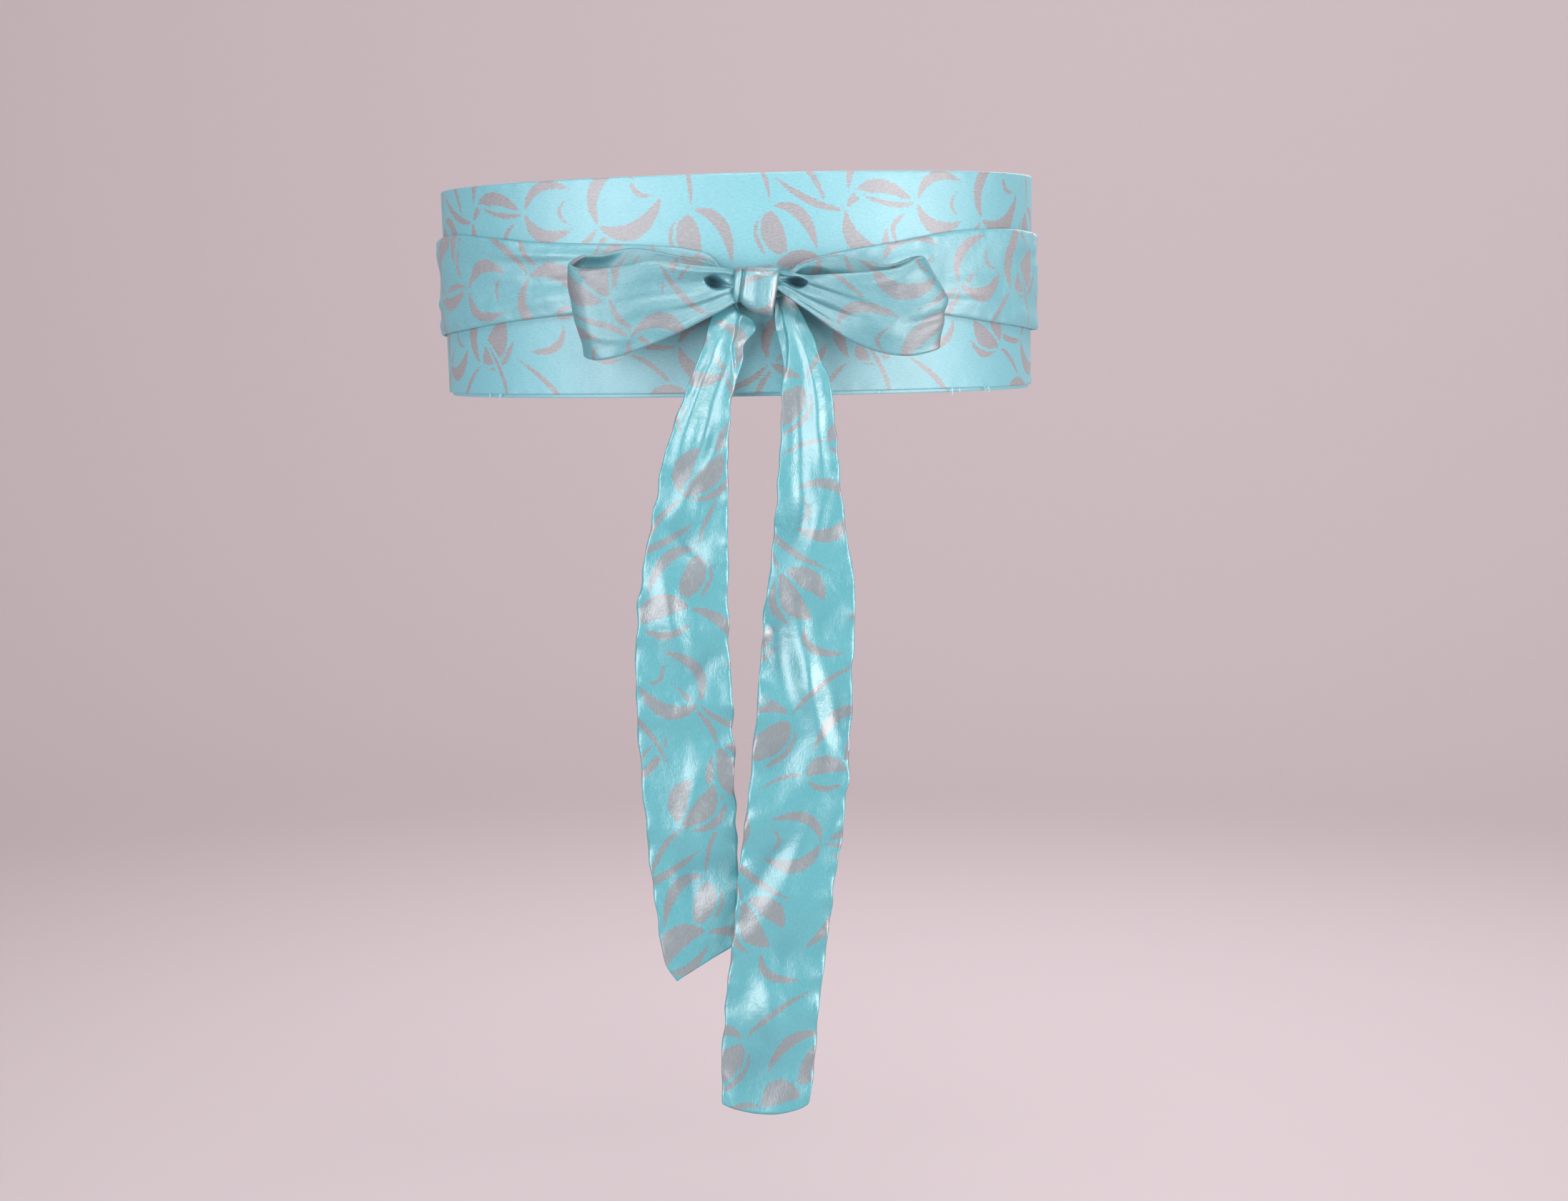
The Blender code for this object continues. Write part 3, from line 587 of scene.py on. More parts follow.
def course(row, along):
    """How far along a row's form each place is, from 0 to 1, and where across the form lies there."""
    place = np.clip((along - row["start"]) / (row["end"] - row["start"]), 0.0, 1.0)
    return place, row["across_start"] + (row["across_end"] - row["across_start"]) * place


def fold_relief(folds, along, across):
    """How far the folds lift a piece, for shares along it and across it."""
    relief = np.zeros(np.broadcast(along, across).shape)
    for fold in each(folds):
        place, centre = course(fold, along)
        profile = np.exp(-(((across - centre) / fold["spread"]) ** 2))
        relief += fold["height"] * np.sin(np.pi * place) * profile
    return relief


def pocket_relief(pockets, run, across, tall):
    """How far the pockets beside the knot lift a loop, mostly below 0, for places on it."""
    relief = np.zeros(np.broadcast(run, across).shape)
    for pocket in each(pockets):
        place, centre = course(pocket, run)
        drop = np.sin(np.pi * place**POCKET_LEAN)
        half = POCKET_LEAST + pocket["half_height"] * drop
        inside = np.exp(-((np.abs(across - centre) * tall / half) ** POCKET_POWER))
        relief -= pocket["depth"] * drop**POCKET_SLOPE * inside
    return relief


def step_relief(steps, along, across):
    """How far overhanging folds lift a piece above their line and press it below."""
    relief = np.zeros(np.broadcast(along, across).shape)
    for step in each(steps):
        place, centre = course(step, along)
        away = across - centre
        side = -np.tanh(away / STEP_SHARPNESS) * np.exp(-np.abs(away) / step["reach"])
        relief += step["height"] / 2 * side * np.sin(np.pi * place) ** STEP_POWER
    return relief


def waves(kind, u, v, seed):
    """Soft uneven waves of a kind in the table, for places u along a piece and v across it."""
    height, pitch, stretch, lean = WAVES[kind]
    random = np.random.default_rng(seed)
    total = np.zeros(np.broadcast(u, v).shape)
    for _ in range(WAVE_COUNT):
        turn, phase = random.uniform(0.0, 2 * np.pi, 2)
        length = pitch * random.uniform(*WAVE_LENGTHS)
        run = u * np.cos(turn) / stretch + lean * v * np.sin(turn)
        total += np.sin(2 * np.pi * run / length + phase)
    return height * total / np.sqrt(WAVE_COUNT)


def near_seam(v, width):
    """1 at a piece's two edges, and soon less further in."""
    return np.exp(-((np.minimum(v, width - v) / PUCKER_REACH) ** 2))


def panel_relief(u, v):
    """Slack in the panel, and small puckers along the seams at its two edges."""
    fade = np.minimum(np.minimum(v, PANEL_HEIGHT - v) / PANEL_SLACK_FADE, 1.0)
    slack = waves("panel_slack", u, v, SEEDS["panel_slack"]) * fade
    pucker = waves("panel_pucker", u, v, SEEDS["panel_pucker"])
    return slack + pucker * near_seam(v, PANEL_HEIGHT)


def tie_relief(u, v, width, seed):
    """Small unevenness of a tie: soft creases, and puckers along the seams at its edges."""
    creases = waves("crease", u, v, seed) + waves("fine_crease", u, v, seed + 1)
    return creases + waves("tie_pucker", u, v, seed + 2) * near_seam(v, width)


def strokes(*rows):
    """A motif's brush strokes: the X and Y of the three points that bend each, and three radii."""
    values = np.array(rows)
    return values[:, :6].reshape(-1, 3, 2), values[:, 6:]


TULIP_SIDE = strokes(
    (0.0, -1.5, 5.0, -16.0, -1.0, -38.0, 0.7, 2.6, 0.5),
    (1.5, 0.0, 19.0, 4.0, 15.0, 31.0, 0.8, 6.4, 0.3),
    (-1.5, 1.0, -15.0, 6.0, -11.0, 24.0, 1.0, 4.4, 0.3),
    (-1.5, 3.5, -6.0, 13.0, -1.0, 27.0, 2.0, 11.5, 0.4),
)
TULIP_CUP = strokes(
    (0.0, -1.0, -4.0, -14.0, 5.0, -34.0, 0.6, 3.2, 0.4),
    (0.5, -0.5, 21.0, 5.0, 10.0, 30.0, 0.8, 5.6, 0.3),
    (-0.5, -0.5, -20.0, 6.0, -9.0, 29.0, 0.8, 7.4, 0.3),
    (-7.5, 27.5, -2.0, 15.0, 8.0, 27.0, 0.3, 2.6, 0.3),
)
TULIP_SOLID = strokes(
    (0.0, -0.5, -7.0, -12.0, -3.0, -33.0, 0.7, 2.8, 0.5),
    (-1.0, 2.0, -12.0, 10.0, -6.0, 23.0, 1.6, 8.8, 0.3),
    (0.5, 2.0, 8.0, 11.0, 3.5, 26.0, 2.0, 10.0, 0.3),
    (4.0, 1.0, 17.0, 8.0, 12.0, 22.0, 0.8, 3.8, 0.3),
)
BUD = strokes(
    (0.0, 0.0, -4.0, -10.0, 5.0, -27.0, 0.7, 2.4, 0.4),
    (-0.5, 1.0, -9.0, 9.0, 1.0, 21.0, 1.2, 9.4, 0.3),
    (2.5, 0.5, 11.5, 7.0, 7.0, 20.0, 0.6, 3.6, 0.3),
)
SWOOP = strokes(
    (0.0, 0.0, 17.0, 13.0, 42.0, 1.0, 0.3, 6.4, 0.4),
)
SWOOP_PAIR = strokes(
    (0.0, 0.0, 14.0, 16.0, 38.0, 9.0, 0.3, 5.0, 0.3),
    (3.0, -3.5, 18.0, 8.0, 34.0, 2.0, 0.3, 2.4, 0.3),
)
CURL = strokes(
    (0.0, 0.0, 4.0, -17.0, 27.0, -6.0, 0.5, 4.6, 0.3),
)
MOTIFS = (
    TULIP_SIDE, SWOOP, TULIP_CUP, TULIP_SOLID, CURL, TULIP_SIDE, BUD, TULIP_CUP, SWOOP_PAIR,
    TULIP_SOLID, TULIP_CUP, SWOOP, TULIP_SIDE,
)


def brush(field, line, radii):
    """Lays one brush stroke, a chain of circles, on the print, with a bare line left round it."""
    reach = radii.max() + PRINT_FAR
    low = np.floor((line.min(0) - reach) / PRINT_STEP).astype(int)
    high = np.ceil((line.max(0) + reach) / PRINT_STEP).astype(int)
    columns = np.arange(low[0], high[0] + 1)
    rows = np.arange(low[1], high[1] + 1)
    x = columns[:, None, None] * PRINT_STEP - line[:, 0]
    y = rows[None, :, None] * PRINT_STEP - line[:, 1]
    distance = (np.sqrt(x * x + y * y) - radii).min(-1)
    place = np.ix_(columns % field.shape[0], rows % field.shape[1])
    field[place] = np.minimum(np.maximum(field[place], BARE_LINE - distance), distance)


def print_field():
    """The print's repeat: how far each place is from the nearest painted edge, less than 0 inside."""
    random = np.random.default_rng(PRINT_SEED)
    shape = [int(round(size / PRINT_STEP)) for size in PRINT_SIZE]
    field = np.full(shape, PRINT_FAR)
    t = np.linspace(0.0, 1.0, BRUSH_STEPS)
    weights = np.stack([(1 - t) ** 2, 2 * t * (1 - t), t**2], -1)
    for number in range(MOTIF_COLUMNS * MOTIF_ROWS):
        column, row = divmod(number, MOTIF_ROWS)
        points, radii = MOTIFS[number % len(MOTIFS)]
        x = (column + 0.5 * (row % 2)) * PRINT_SIZE[0] / MOTIF_COLUMNS
        y = row * PRINT_SIZE[1] / MOTIF_ROWS
        middle = (x, y) + random.uniform(-MOTIF_STRAY, MOTIF_STRAY, 2)
        size = PRINT_SCALE * random.uniform(*MOTIF_SIZES)
        turn = np.radians(MOTIF_TURN * number + random.uniform(-MOTIF_SWAY, MOTIF_SWAY))
        spin = np.array([[np.cos(turn), -np.sin(turn)], [np.sin(turn), np.cos(turn)]])
        for bend, thickness in zip(points - points.mean((0, 1)), radii):
            line = middle + (weights @ bend) @ spin.T * size
            run = t * np.linalg.norm(bend[2] - bend[0])
            rag = np.sin(2 * np.pi * run / RAG_PITCH + random.uniform(0.0, RAG_PHASES))
            brush(field, line, weights @ thickness * size * (1 + RAG * rag))
    return field


def print_at(cloth, cut):
    """The print's distance at places on a piece that is cut from the cloth as cut says."""
    x0, y0, turn = cut
    spin = np.radians(turn)
    u, v = cloth[..., 0], cloth[..., 1]
    x = (x0 + u * np.cos(spin) - v * np.sin(spin)) / PRINT_STEP
    y = (y0 + u * np.sin(spin) + v * np.cos(spin)) / PRINT_STEP
    column, row = np.floor(x).astype(int), np.floor(y).astype(int)
    right, up = x - column, y - row
    wide, high = FIELD.shape

    def level(over):
        line = (row + over) % high
        return FIELD[column % wide, line] * (1 - right) + FIELD[(column + 1) % wide, line] * right

    return level(0) * (1 - up) + level(1) * up


def across_shares(width, edge_round, step=None):
    """Places across a piece as shares of its width, closer together round its two edges.

    Without a step they are for a face that nobody sees, and few.
    """
    bend = edge_round * (1 - np.cos(np.linspace(0.0, np.pi / 2, EDGE_STEPS)))
    count = int((width - 2 * edge_round) / step) + 1 if step else HIDDEN_COLUMNS
    middle = np.linspace(edge_round, width - edge_round, count)
    return np.concatenate([bend[:-1], middle, width - bend[-2::-1]])[None, :] / width


def faces_of(width, edge_round, step):
    """The outer face, 1, and the hidden inner one, -1, each with its places across."""
    return (1, across_shares(width, edge_round, step)), (-1, across_shares(width, edge_round))


def half_thickness(share, width, wall, edge_round):
    """Half of a piece's thickness at places across it, round at both edges."""
    into = np.minimum(np.minimum(share, 1 - share) * width / edge_round, 1.0)
    return wall / 2 * np.sqrt(np.maximum(0.0, 1 - (1 - into) ** 2))


def cloth_grid(run, share, width, turn_over):
    """Where the points of a face lie on the cloth: along it, and across it or back behind it.

    The width is what shows of the cloth at each place along it, with the rest pleated away evenly.
    """
    across = (share - 0.5) * width
    if turn_over:
        across = TIE_WIDTH - across
    return np.stack(np.broadcast_arrays(run, across), -1)


def placed(name, data):
    """A new object in the scene."""
    holder = bpy.data.objects.new(name, data)
    bpy.context.scene.collection.objects.link(holder)
    return holder


def store(mesh, name, kind, field_name, values):
    """Keeps a value for each of a mesh's points, which its material reads by this name."""
    attribute = mesh.attributes.new(name, kind, "POINT")
    attribute.data.foreach_set(field_name, np.asarray(values, np.float32).ravel())


def finished(name, points, faces, cloth, material, painted_shade=None):
    """A piece that rides on the sash, with its faces turned outward and smooth.

    Each point keeps where it lies on the cloth and, on a piece that has them, how far it is from
    the print's nearest painted edge and how much painted shade darkens it in a hollow, from 0 to 1.
    """
    mesh = bpy.data.meshes.new(name)
    mesh.from_pydata((points.reshape(-1, 3) * MM).tolist(), [], faces)
    place = np.zeros((len(mesh.vertices), 3))
    place[:, :cloth.shape[-1]] = cloth.reshape(-1, cloth.shape[-1])
    store(mesh, "cloth", "FLOAT_VECTOR", "vector", place)
    if name in CUTS:
        store(mesh, "ink", "FLOAT", "value", print_at(cloth, CUTS[name]))
    if painted_shade is not None:
        store(mesh, "painted_shade", "FLOAT", "value", painted_shade)
    bm = bmesh.new()
    bm.from_mesh(mesh)
    bmesh.ops.recalc_face_normals(bm, faces=bm.faces)
    bm.to_mesh(mesh)
    bm.free()
    mesh.shade_smooth()
    mesh.materials.append(MATERIALS[material])
    piece = placed(name, mesh)
    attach(piece, "root")
    return piece


def joined(pair):
    """A front and a back grid in one, in the order that runs round the piece."""
    return np.concatenate([pair[0], pair[1][:, -2:0:-1]], 1)


def closed(name, points, cloth, material, painted_shade=None):
    """A thin closed piece from a front and a back grid of points that share their two edges.

    The grids run along the piece and then across it, one for each face. Those of the cloth and of
    the painted shade go with those of the points.
    """
    rows, front_columns = points[0].shape[:2]
    points = joined(points)
    columns = points.shape[1]
    here = np.arange(columns)
    after = (here + 1) % columns
    start = np.arange(rows - 1)[:, None] * columns
    ahead = start + columns
    quads = np.stack([start + here, start + after, ahead + after, ahead + here], -1)
    faces = quads.reshape(-1, 4).tolist()
    for row, turned in ((0, 1), (rows - 1, -1)):
        faces += end_cap(row * columns, front_columns, columns, turned)
    painted_shade = joined(painted_shade) if painted_shade else None
    return finished(name, points, faces, joined(cloth), material, painted_shade)


def end_cap(start, front_columns, columns, turned):
    """Triangles that close a section's end, between its front columns and its back ones."""
    front = list(range(front_columns))
    back = [0] + list(range(columns - 1, front_columns - 1, -1)) + [front_columns - 1]
    faces = []
    i = j = 0
    while i < len(front) - 1 or j < len(back) - 1:
        ahead = (i + 1) / (len(front) - 1)
        behind = (j + 1) / (len(back) - 1)
        if j == len(back) - 1 or (i < len(front) - 1 and ahead <= behind):
            corners = [front[i], front[i + 1], back[j]]
            i += 1
        else:
            corners = [front[i], back[j + 1], back[j]]
            j += 1
        if len(set(corners)) == 3:
            faces.append([start + corner for corner in corners[::turned]])
    return faces


def panel_edges(angle):
    """Heights of the panel's upper and lower edge at an angle round the waist."""
    half = PANEL_HEIGHT / 2 + PANEL_SKEW * np.sin(np.radians(angle))
    return half, -half


def panel_layer(name, step, out, thickness, drop, relief_size, material):
    """A layer of the panel whose outer face stands at out, let down by drop."""
    half_turn = 180.0 - np.degrees(BACK_GAP / 2 / WAIST_HALF_WIDTH)
    fine = np.linspace(-half_turn, half_turn, RING_STEPS)
    at, run = resampled({"angle": fine}, waist(fine, 0.0, 0.0), step[0])
    top, bottom = panel_edges(at["angle"])
    points = []
    cloth = []
    for side, share in faces_of(PANEL_HEIGHT, PANEL_EDGE_ROUND, step[1]):
        half = half_thickness(share, PANEL_HEIGHT, thickness, PANEL_EDGE_ROUND)
        relief = relief_size * panel_relief(run, share * PANEL_HEIGHT)
        stand = out - thickness / 2 + side * half + relief
        points.append(waist(at["angle"], (top - drop) + (bottom - top) * share, stand))
        cloth.append(cloth_grid(run, share, PANEL_HEIGHT, side < 0))
    return closed(name, points, cloth, material)


def wrap(name, rows, folds):
    """A tie round the waist, lying on the panel."""
    line = waist(rows["angle"], (rows["top"] + rows["bottom"]) / 2, rows["out"])
    at, run = resampled(rows, line, WRAP_STEP[0])
    width = np.mean(np.abs(rows["top"] - rows["bottom"]))
    tall = np.abs(at["top"] - at["bottom"])
    points = []
    cloth = []
    for side, share in faces_of(width, EDGE_ROUND, WRAP_STEP[1]):
        height = at["top"] * (1 - share) + at["bottom"] * share
        relief = fold_relief(folds, run / run[-1], share)
        relief = relief + tie_relief(run, share * tall, tall, SEEDS[name])
        if side < 0:
            relief = relief * FOLD_INSIDE
        half = half_thickness(share, width, TIE_WALL, EDGE_ROUND)
        stand = at["out"] + TIE_WALL / 2 + side * half + np.maximum(relief, WRAP_LOWEST)
        points.append(waist(at["angle"], height, stand))
        cloth.append(cloth_grid(run, share, tall, side < 0))
    return closed(name, points, cloth, "wrap_satin")


def edge_line(rows, edge):
    """The points of one of a table's two edge lines."""
    return np.stack([rows[f"x_{edge}"], rows["y"], rows[f"z_{edge}"]], -1)


def between(rows, first, second, step):
    """The rows spread evenly between two edge lines, the lines' points, and the run along them."""
    middle = (edge_line(rows, first) + edge_line(rows, second)) / 2
    at, run = resampled(rows, middle, step)
    return at, edge_line(at, first), edge_line(at, second), run


def ribbon(name, edges, facing, run, across, relief, aside, upward, painted_shade, wall, material):
    """A tie between two edge lines, whose two faces both show.

    Relief lifts it to where it faces, aside and upward shift it along X and Z, and the last but one
    argument is the painted shade of its front and its back, darker in hollows, from 0 to 1.
    """
    first, second = edges
    share = across[..., None]
    shift = np.stack(np.broadcast_arrays(aside, 0.0, upward), -1)
    middle = first * (1 - share) + second * share + facing * relief[..., None] + shift
    half = half_thickness(across, TIE_WIDTH, wall, EDGE_ROUND)[..., None] * facing
    shown = np.linalg.norm(first - second, axis=-1)
    cloth = [cloth_grid(run, across, shown, turn_over) for turn_over in (False, True)]
    painted_shade = [np.broadcast_to(face, relief.shape) for face in painted_shade]
    return closed(name, [middle + half, middle - half], cloth, material, painted_shade)


def loop(name, rows, folds, pockets, steps, outward):
    """A loop of the bow; outward is 1 where it reaches towards +X, and -1 towards -X."""
    at, top, low, run = between(rows, "top", "low", LOOP_STEP[0])
    across = across_shares(TIE_WIDTH, EDGE_ROUND, LOOP_STEP[1])
    along = run / run[-1]
    path = np.gradient((top + low) / 2, axis=0)
    facing = outward * np.stack([path[..., 1], -path[..., 0], np.zeros(run.shape)], -1)
    facing /= np.linalg.norm(facing, axis=-1, keepdims=True)
    tall = np.linalg.norm(top - low, axis=-1)
    swell = SWELL_SHOWN * at["swell"] * np.sin(np.pi * across)
    gathers = at["gather"] * np.sin(2 * np.pi * LOOP_GATHERS * across)
    stepped = step_relief(steps, along, across)
    pressed = pocket_relief(pockets, run, across, tall)
    folded = fold_relief(folds, along, across) + stepped + pressed
    relief = swell + gathers + folded + tie_relief(run, across * tall, tall, SEEDS[name])
    tent = np.maximum(0.0, 1.0 - np.abs(across - LOOP_TIP_AT) / LOOP_TIP_SPREAD)
    # Painted shade on the front: darker in the pockets and below the overhanging folds.
    front = np.clip(-pressed / POCKET_SHADE_DEPTH + np.maximum(-stepped, 0.0) / STEP_SHADE_DEPTH, 0.0, 1.0)
    # Painted shade on the inner face, where the loop's open end is.
    inside = MOUTH_SHADE * np.exp(-(((along - MOUTH_SHADE_AT) / MOUTH_SHADE_SPREAD) ** 2))
    return ribbon(
        name, (top, low), facing, run, across, relief, outward * at["tip"] * tent, 0.0,
        (front, inside), LOOP_WALL, "tie_satin",
    )


def tail(name, rows, folds, phase, end_sag):
    """A hanging end of a tie, pleated where it leaves the knot; phase sets where its waves lie."""
    at, left, right, run = between(rows, "left", "right", TAIL_STEP[0])
    across = across_shares(TIE_WIDTH, EDGE_ROUND, TAIL_STEP[1])
    seed = SEEDS[name]
    wide = np.linalg.norm(left - right, axis=-1)
    place = across * wide
    from_middle = np.abs(2 * across - 1)
    near_edge = from_middle**RUFFLE_POWER
    loose = np.clip((run - TAIL_TIGHT) / TAIL_OPENING, 0.0, 1.0)
    depth = BILLOW_AT_EDGE + (1 - BILLOW_AT_EDGE) * np.sin(np.pi * across)
    turn = 2 * np.pi * run / BILLOW_PITCH + BILLOW_SLANT * across + phase
    billow = BILLOW * loose * depth * np.sin(turn)
    turn = 2 * np.pi * run / RUFFLE_PITCH + RUFFLE_TURN * np.round(across) + phase
    ruffle = RUFFLE * loose * near_edge * np.sin(turn)
    pleat = at["step"] / 2 * np.tanh((across - at["step_at"]) / PLEAT_SPREAD)
    small = TAIL_CRUMPLE * tie_relief(run, place, wide, seed)
    pucker = waves("tail_pucker", run, place, seed + TAIL_PUCKER_DRAW)
    ripple = waves("tail_wave", run, place, seed + TAIL_WAVE_DRAW)
    relief = billow + ruffle - pleat + fold_relief(folds, run / run[-1], across) + small
    relief = relief + near_edge * pucker + ripple * loose
    near_end = np.clip(1.0 - (run[-1] - run) / TAIL_END_REACH, 0.0, 1.0)
    sag = end_sag * near_end**2 * np.sin(np.pi * across) ** TAIL_END_ROUND
    wave = waves("edge_wave", run, across, seed + EDGE_WAVE_DRAW)
    # Painted shade on the front, darker the deeper a fold goes down.
    front = np.clip((-relief - SHADE_PAINT_FROM) / SHADE_PAINT_DEPTH, 0.0, 1.0)
    return ribbon(
        name, (left, right), np.array([0.0, -1.0, 0.0]), run, across, relief,
        wave * from_middle**EDGE_WAVE_POWER, -sag, (front, 0.0), TAIL_WALL, "hanging_satin",
    )


def knot(name):
    """The knot's band: a closed ring with its two side edges rolled inward."""
    share = np.linspace(0.0, 1.0, len(KNOT_BAND["top"]))
    wide = KNOT_BAND["x_top"][-1] - KNOT_BAND["x_top"][0]
    columns = np.linspace(0.0, 1.0, int(wide / KNOT_STEP[0]) + 1)
    band = {column: smooth(columns, share, values) for column, values in KNOT_BAND.items()}
    into = np.minimum(np.minimum(columns, 1 - columns) * wide / KNOT_ROLL, 1.0)
    roll = KNOT_ROLL * (1 - np.sqrt(1 - (1 - into) ** 2))
    steps = int(2 * (band["front"].mean() - KNOT_BACK + KNOT_TALL) / KNOT_STEP[1])
    turn = np.linspace(0.0, 2 * np.pi, steps, endpoint=False)[:, None]
    around = (turn / (2 * np.pi) + 0.5) % 1.0 * KNOT_AROUND  # the cloth's seam lies behind
    place = columns[None, :] * wide
    inset = roll - waves("knot_crease", around, place, SEEDS[name])
    forward, upward = (
        np.sign(part) * np.abs(part) ** (2.0 / KNOT_ROUNDNESS) for part in (np.cos(turn), np.sin(turn))
    )
    half_depth = (band["front"] - KNOT_BACK) / 2
    half_height = (band["top"] - band["low"]) / 2
    y = -(band["front"] + KNOT_BACK) / 2 - forward * (half_depth - inset)
    z = (band["top"] + band["low"]) / 2 + upward * (half_height - inset)
    lean = (band["top"] - z) / (band["top"] - band["low"])
    x = band["x_top"] + (band["x_low"] - band["x_top"]) * lean
    rows, count = z.shape
    here = np.arange(rows)[:, None] * count
    after = (np.arange(rows)[:, None] + 1) % rows * count
    column = np.arange(count - 1)[None, :]
    quads = np.stack([here + column, after + column, after + column + 1, here + column + 1], -1)
    return finished(
        name, np.stack([x, y, z], -1), quads.reshape(-1, 4).tolist(),
        np.stack(np.broadcast_arrays(around, place), -1), "knot_satin",
    )


def threads(name):
    """Short loose threads at the panel's lower edge, as thin tubes that curl out of the seam."""
    random = np.random.default_rng(SEEDS[name])
    t = np.linspace(0.0, 1.0, THREAD_STEPS)
    points = []
    faces = []
    for start, end, count in THREAD_PLACES:
        for angle in random.uniform(start, end, count):
            length = random.uniform(*THREAD_LENGTH)
            turn = random.uniform(-1.0, 1.0, 2)
            _, bottom = panel_edges(angle)
            degrees = angle + np.degrees(length / WAIST_HALF_WIDTH) * turn[0] * t
            height = bottom + THREAD_ROOT - length * (t - THREAD_CURL * turn[1] * t**2)
            out = THREAD_OUT + THREAD_LIFT * length * t * (1 - THREAD_DROOP * t)
            tube_points, tube_faces = tube(waist(degrees, height, out), THREAD_RADIUS)
            first = sum(map(len, points))
            faces += [[first + corner for corner in face] for face in tube_faces]
            points.append(tube_points)
    points = np.concatenate(points)
    return finished(name, points, faces, points, "thread_satin")


def tube(line, radius):
    """Points and faces of a closed tube along a line."""
    ahead = np.gradient(line, axis=0)
    ahead /= np.linalg.norm(ahead, axis=1, keepdims=True)
    side = np.cross(ahead, TUBE_ASIDE)
    side /= np.linalg.norm(side, axis=1, keepdims=True)
    over = np.cross(ahead, side)
    turn = np.arange(TUBE_SIDES) * 2 * np.pi / TUBE_SIDES
    ring = np.cos(turn)[:, None, None] * side + np.sin(turn)[:, None, None] * over
    points = (line + radius * ring).transpose(1, 0, 2).reshape(-1, 3)
    last = len(points) - TUBE_SIDES
    faces = []
    for low in range(0, last, TUBE_SIDES):
        high = low + TUBE_SIDES
        for corner in range(TUBE_SIDES):
            after = (corner + 1) % TUBE_SIDES
            faces.append([low + corner, low + after, high + after, high + corner])
    faces.append(list(range(TUBE_SIDES)))
    faces.append(list(range(last, len(points))))
    return points, faces


def feed(tree, node, inputs):
    """Sets a node's inputs, each to a value or a colour, or links it to another node's output."""
    for key, value in inputs.items():
        socket = node.inputs[key]
        if isinstance(value, bpy.types.NodeSocket):
            tree.links.new(value, socket)
        else:
            socket.default_value = (*value, 1.0) if socket.type == "RGBA" else value


def added(tree, kind, inputs, **settings):
    """A new node with these inputs and settings."""
    node = tree.nodes.new(kind)
    for name, value in settings.items():
        setattr(node, name, value)
    feed(tree, node, inputs)
    return node


def stored(tree, name, output="Fac"):
    """What the mesh keeps under this name."""
    return added(tree, "ShaderNodeAttribute", {}, attribute_name=name).outputs[output]


def calculated(tree, operation, first, second):
    """The result of a Math node of two inputs, each a number or another node's output."""
    return added(tree, "ShaderNodeMath", {0: first, 1: second}, operation=operation).outputs[0]


def noise(tree, place, scale, detail, roughness=0.5):
    """Noise from about 0 to 1, with the roughness of a new Noise node unless another is given."""
    inputs = {"Vector": place, "Scale": scale, "Detail": detail, "Roughness": roughness}
    return added(tree, "ShaderNodeTexNoise", inputs).outputs["Fac"]


def ranged(tree, value, low, high, ends="From"):
    """A value spread from low and high to 0 and 1, or with ends "To" from 0 and 1 to low and high."""
    inputs = {"Value": value, f"{ends} Min": low, f"{ends} Max": high}
    return added(tree, "ShaderNodeMapRange", inputs).outputs["Result"]


def mixed(tree, share, first, second, blend="MIX"):
    """A colour between first and second, each a colour or another node's output."""
    inputs = {"Factor": share, 6: first, 7: second}
    return added(tree, "ShaderNodeMix", inputs, data_type="RGBA", blend_type=blend).outputs[2]


def blank(name):
    """A new material, its node tree and its shader."""
    material = bpy.data.materials.new(name)
    material.use_nodes = True
    return material, material.node_tree, material.node_tree.nodes["Principled BSDF"]


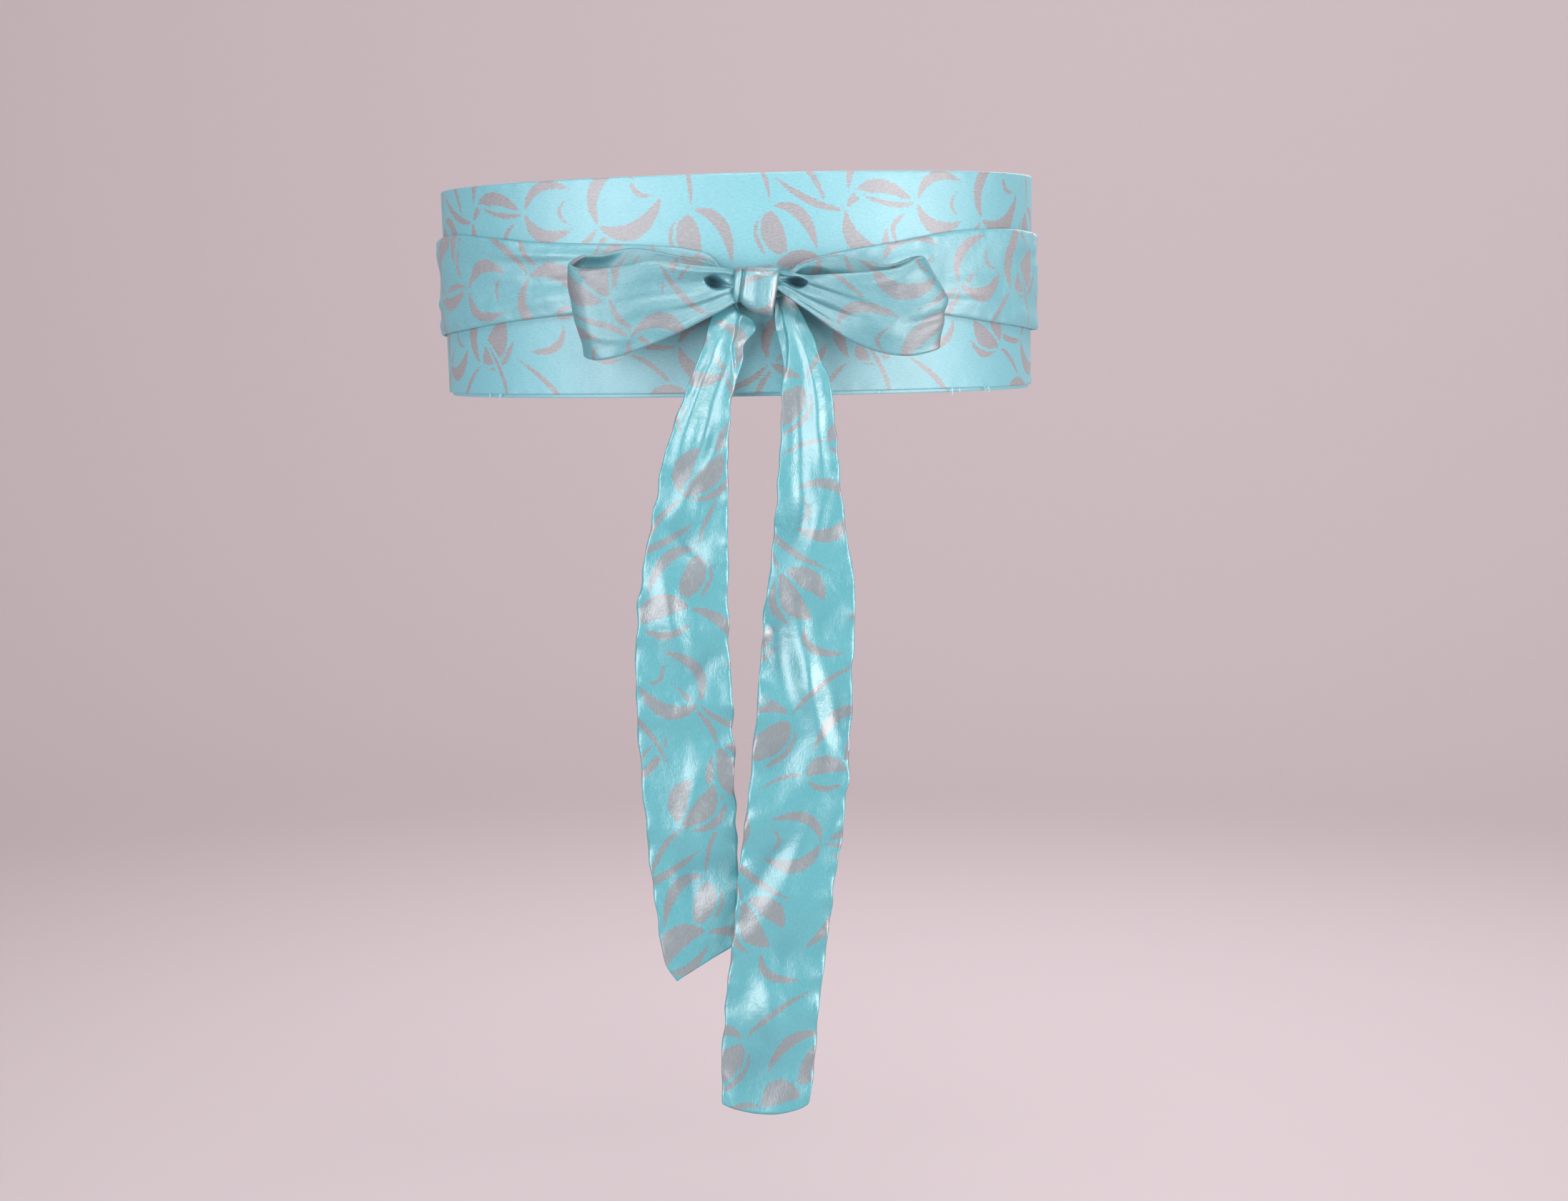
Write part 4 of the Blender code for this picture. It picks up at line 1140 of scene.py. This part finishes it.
def satin(name, ground, silver, bump, roughness, specular):
    """Satin: two ground colours in a fine grain, the print with rough brushed edges over them, and
    painted shade that darkens it in hollows.
    """
    material, tree, shader = blank(name)
    plus = partial(calculated, tree, "ADD")
    times = partial(calculated, tree, "MULTIPLY")
    cloth = stored(tree, "cloth", "Vector")
    stretch = {"Vector": cloth, "Scale": (STREAK_STRETCH, 1.0, 1.0)}
    drawn = added(tree, "ShaderNodeMapping", stretch).outputs["Vector"]
    streaks = noise(tree, drawn, GRAIN_SCALE, GRAIN_DETAIL, GRAIN_ROUGH)
    specks = noise(tree, cloth, GRAIN_SCALE, GRAIN_DETAIL, GRAIN_ROUGH)
    grain = ranged(tree, times(plus(streaks, specks), 0.5), NOISE_LOW, NOISE_HIGH)
    mottle = noise(tree, cloth, MOTTLE_SCALE, SOFT_DETAIL)
    base = mixed(tree, grain, *ground)
    if silver:
        ragged = plus(noise(tree, cloth, RAGGED_SCALE, SOFT_DETAIL, RAGGED_ROUGH), -0.5)
        edge = plus(stored(tree, "ink"), times(ragged, RAGGED_SIZE))
        edge = plus(edge, times(plus(grain, -0.5), GRAIN_EDGE))
        cover = ranged(tree, edge, EDGE_SOFT - STROKE_THIN, -EDGE_SOFT - STROKE_THIN)
        base = mixed(tree, times(cover, PRINT_COVER), base, mixed(tree, grain, *silver))
    # painted shade: darkens the colour towards the painted shade tint in hollows, and raises the
    # roughness there
    painted_shade = stored(tree, "painted_shade")
    rough = ranged(tree, mottle, roughness - ROUGHNESS_SPREAD, roughness + ROUGHNESS_SPREAD, "To")
    height = plus(times(mottle, bump), times(grain, GRAIN_BUMP))
    bumps = added(tree, "ShaderNodeBump", {"Distance": MM, "Strength": 1.0, "Height": height})
    feed(tree, shader, {
        "Base Color": mixed(tree, painted_shade, base, PAINTED_SHADE_TINT, "MULTIPLY"),
        "Roughness": calculated(tree, "MAXIMUM", rough, painted_shade),
        "Specular IOR Level": specular,
        "IOR": SATIN_IOR,
        "Sheen Weight": SHEEN,
        "Sheen Roughness": SHEEN_ROUGHNESS,
        "Sheen Tint": SHEEN_TINT,
        "Normal": bumps.outputs["Normal"],
    })
    return material


def softbox(name, place, target, width, height, power, colour, spread):
    """A soft rectangular lamp at a place in metres, turned to its target."""
    lamp = bpy.data.lights.new(name, "AREA")
    lamp.shape = "RECTANGLE"
    lamp.size = width
    lamp.size_y = height
    lamp.energy = power
    lamp.color = colour
    lamp.spread = spread
    holder = placed(name, lamp)
    holder.location = place
    towards = Vector(target) - Vector(place)
    holder.rotation_euler = towards.to_track_quat("-Z", "Y").to_euler()
    holder.visible_camera = False


def backdrop():
    """A pale floor that curves up into a wall all round, so that every view has it behind."""
    bend = np.linspace(0.0, np.pi / 2, BEND_STEPS)
    radius = np.concatenate([[0.0], WALL_AT - WALL_BEND + WALL_BEND * np.sin(bend), [WALL_AT]])
    height = np.concatenate([
        [FLOOR_HEIGHT], FLOOR_HEIGHT + WALL_BEND * (1 - np.cos(bend)), [WALL_TOP]
    ])
    bm = bmesh.new()
    line = [bm.verts.new((r, 0.0, z)) for r, z in zip(radius, height)]
    edges = [bm.edges.new(pair) for pair in zip(line, line[1:])]
    bmesh.ops.spin(
        bm, geom=line + edges, axis=(0.0, 0.0, 1.0), cent=(0.0, 0.0, 0.0), angle=2 * np.pi,
        steps=WALL_SIDES, use_merge=True,
    )
    bmesh.ops.remove_doubles(bm, verts=bm.verts, dist=MM)
    mesh = bpy.data.meshes.new("backdrop")
    bm.to_mesh(mesh)
    bm.free()
    mesh.shade_smooth()
    material, tree, shader = blank("backdrop")
    feed(tree, shader, {"Base Color": BACKDROP, "Roughness": BACKDROP_ROUGHNESS})
    mesh.materials.append(material)
    floor = placed("backdrop", mesh)


def studio():
    """The backdrop, the lamps and a pale surround."""
    backdrop()
    for lamp in LAMPS:
        softbox(*lamp)
    world = bpy.data.worlds.new("surround")
    world.use_nodes = True
    tree = world.node_tree
    feed(tree, tree.nodes["Background"], {"Color": SURROUND, "Strength": SURROUND_STRENGTH})
    bpy.context.scene.world = world
    bpy.context.scene.view_settings.view_transform = "Standard"


def camera():
    """The camera at the photo's angle: in front, a little tilted down, and rolled a little."""
    forward = Vector((-np.sin(PAN) * np.cos(PITCH), np.cos(PAN) * np.cos(PITCH), -np.sin(PITCH)))
    level = Vector((np.cos(PAN), np.sin(PAN), 0.0))
    up = level.cross(forward)
    across = np.cos(ROLL) * level - np.sin(ROLL) * up
    upward = np.sin(ROLL) * level + np.cos(ROLL) * up
    turn = Matrix((across, upward, -forward)).transposed().to_4x4()
    data = bpy.data.cameras.new("camera")
    data.lens = LENS
    data.sensor_width = SENSOR
    holder = placed("camera", data)
    holder.matrix_world = Matrix.Translation(CAMERA_PLACE) @ turn
    bpy.context.scene.camera = holder


FIELD = print_field()
MATERIALS = {name: satin(name, *look) for name, look in SATINS.items()}

panel = panel_layer(
    "panel_cloth", PANEL_STEP, out=0.0, thickness=PANEL_WALL, drop=0.0, relief_size=1.0,
    material="panel_satin",
)
lining = panel_layer(
    "lining_cloth", LINING_STEP, out=-PANEL_WALL - SEAM_GAP, thickness=LINING_WALL,
    drop=LINING_DROP, relief_size=0.0, material="lining_cloth",
)
left_wrap = wrap("left_wrap", WRAP_LEFT, WRAP_LEFT_FOLDS)
right_wrap = wrap("right_wrap", WRAP_RIGHT, WRAP_RIGHT_FOLDS)
left_loop = loop("left_loop", LOOP_LEFT, LOOP_LEFT_FOLDS, LOOP_LEFT_POCKETS, LOOP_LEFT_STEPS, -1)
right_loop = loop(
    "right_loop", LOOP_RIGHT, LOOP_RIGHT_FOLDS, LOOP_RIGHT_POCKETS, LOOP_RIGHT_STEPS, 1
)
left_tail = tail("left_tail", TAIL_LEFT, TAIL_LEFT_FOLDS, phase=0.4, end_sag=0.0)
right_tail = tail("right_tail", TAIL_RIGHT, TAIL_RIGHT_FOLDS, phase=2.1, end_sag=TAIL_END_SAG)
loose_threads = threads("loose_threads")
knot_piece = knot("knot")

for piece, node, slot in (
    (panel, "waist_panel", "satin"),
    (lining, "panel_lining", "lining"),
    (left_wrap, "wrap_left", "tie_satin"),
    (right_wrap, "wrap_right", "tie_satin"),
    (left_loop, "loop_left", "tie_satin"),
    (right_loop, "loop_right", "tie_satin"),
    (left_tail, "tail_left", "tie_satin"),
    (right_tail, "tail_right", "tie_satin"),
    (knot_piece, "knot_band", "tie_satin"),
):
    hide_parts(node)

studio()
camera()
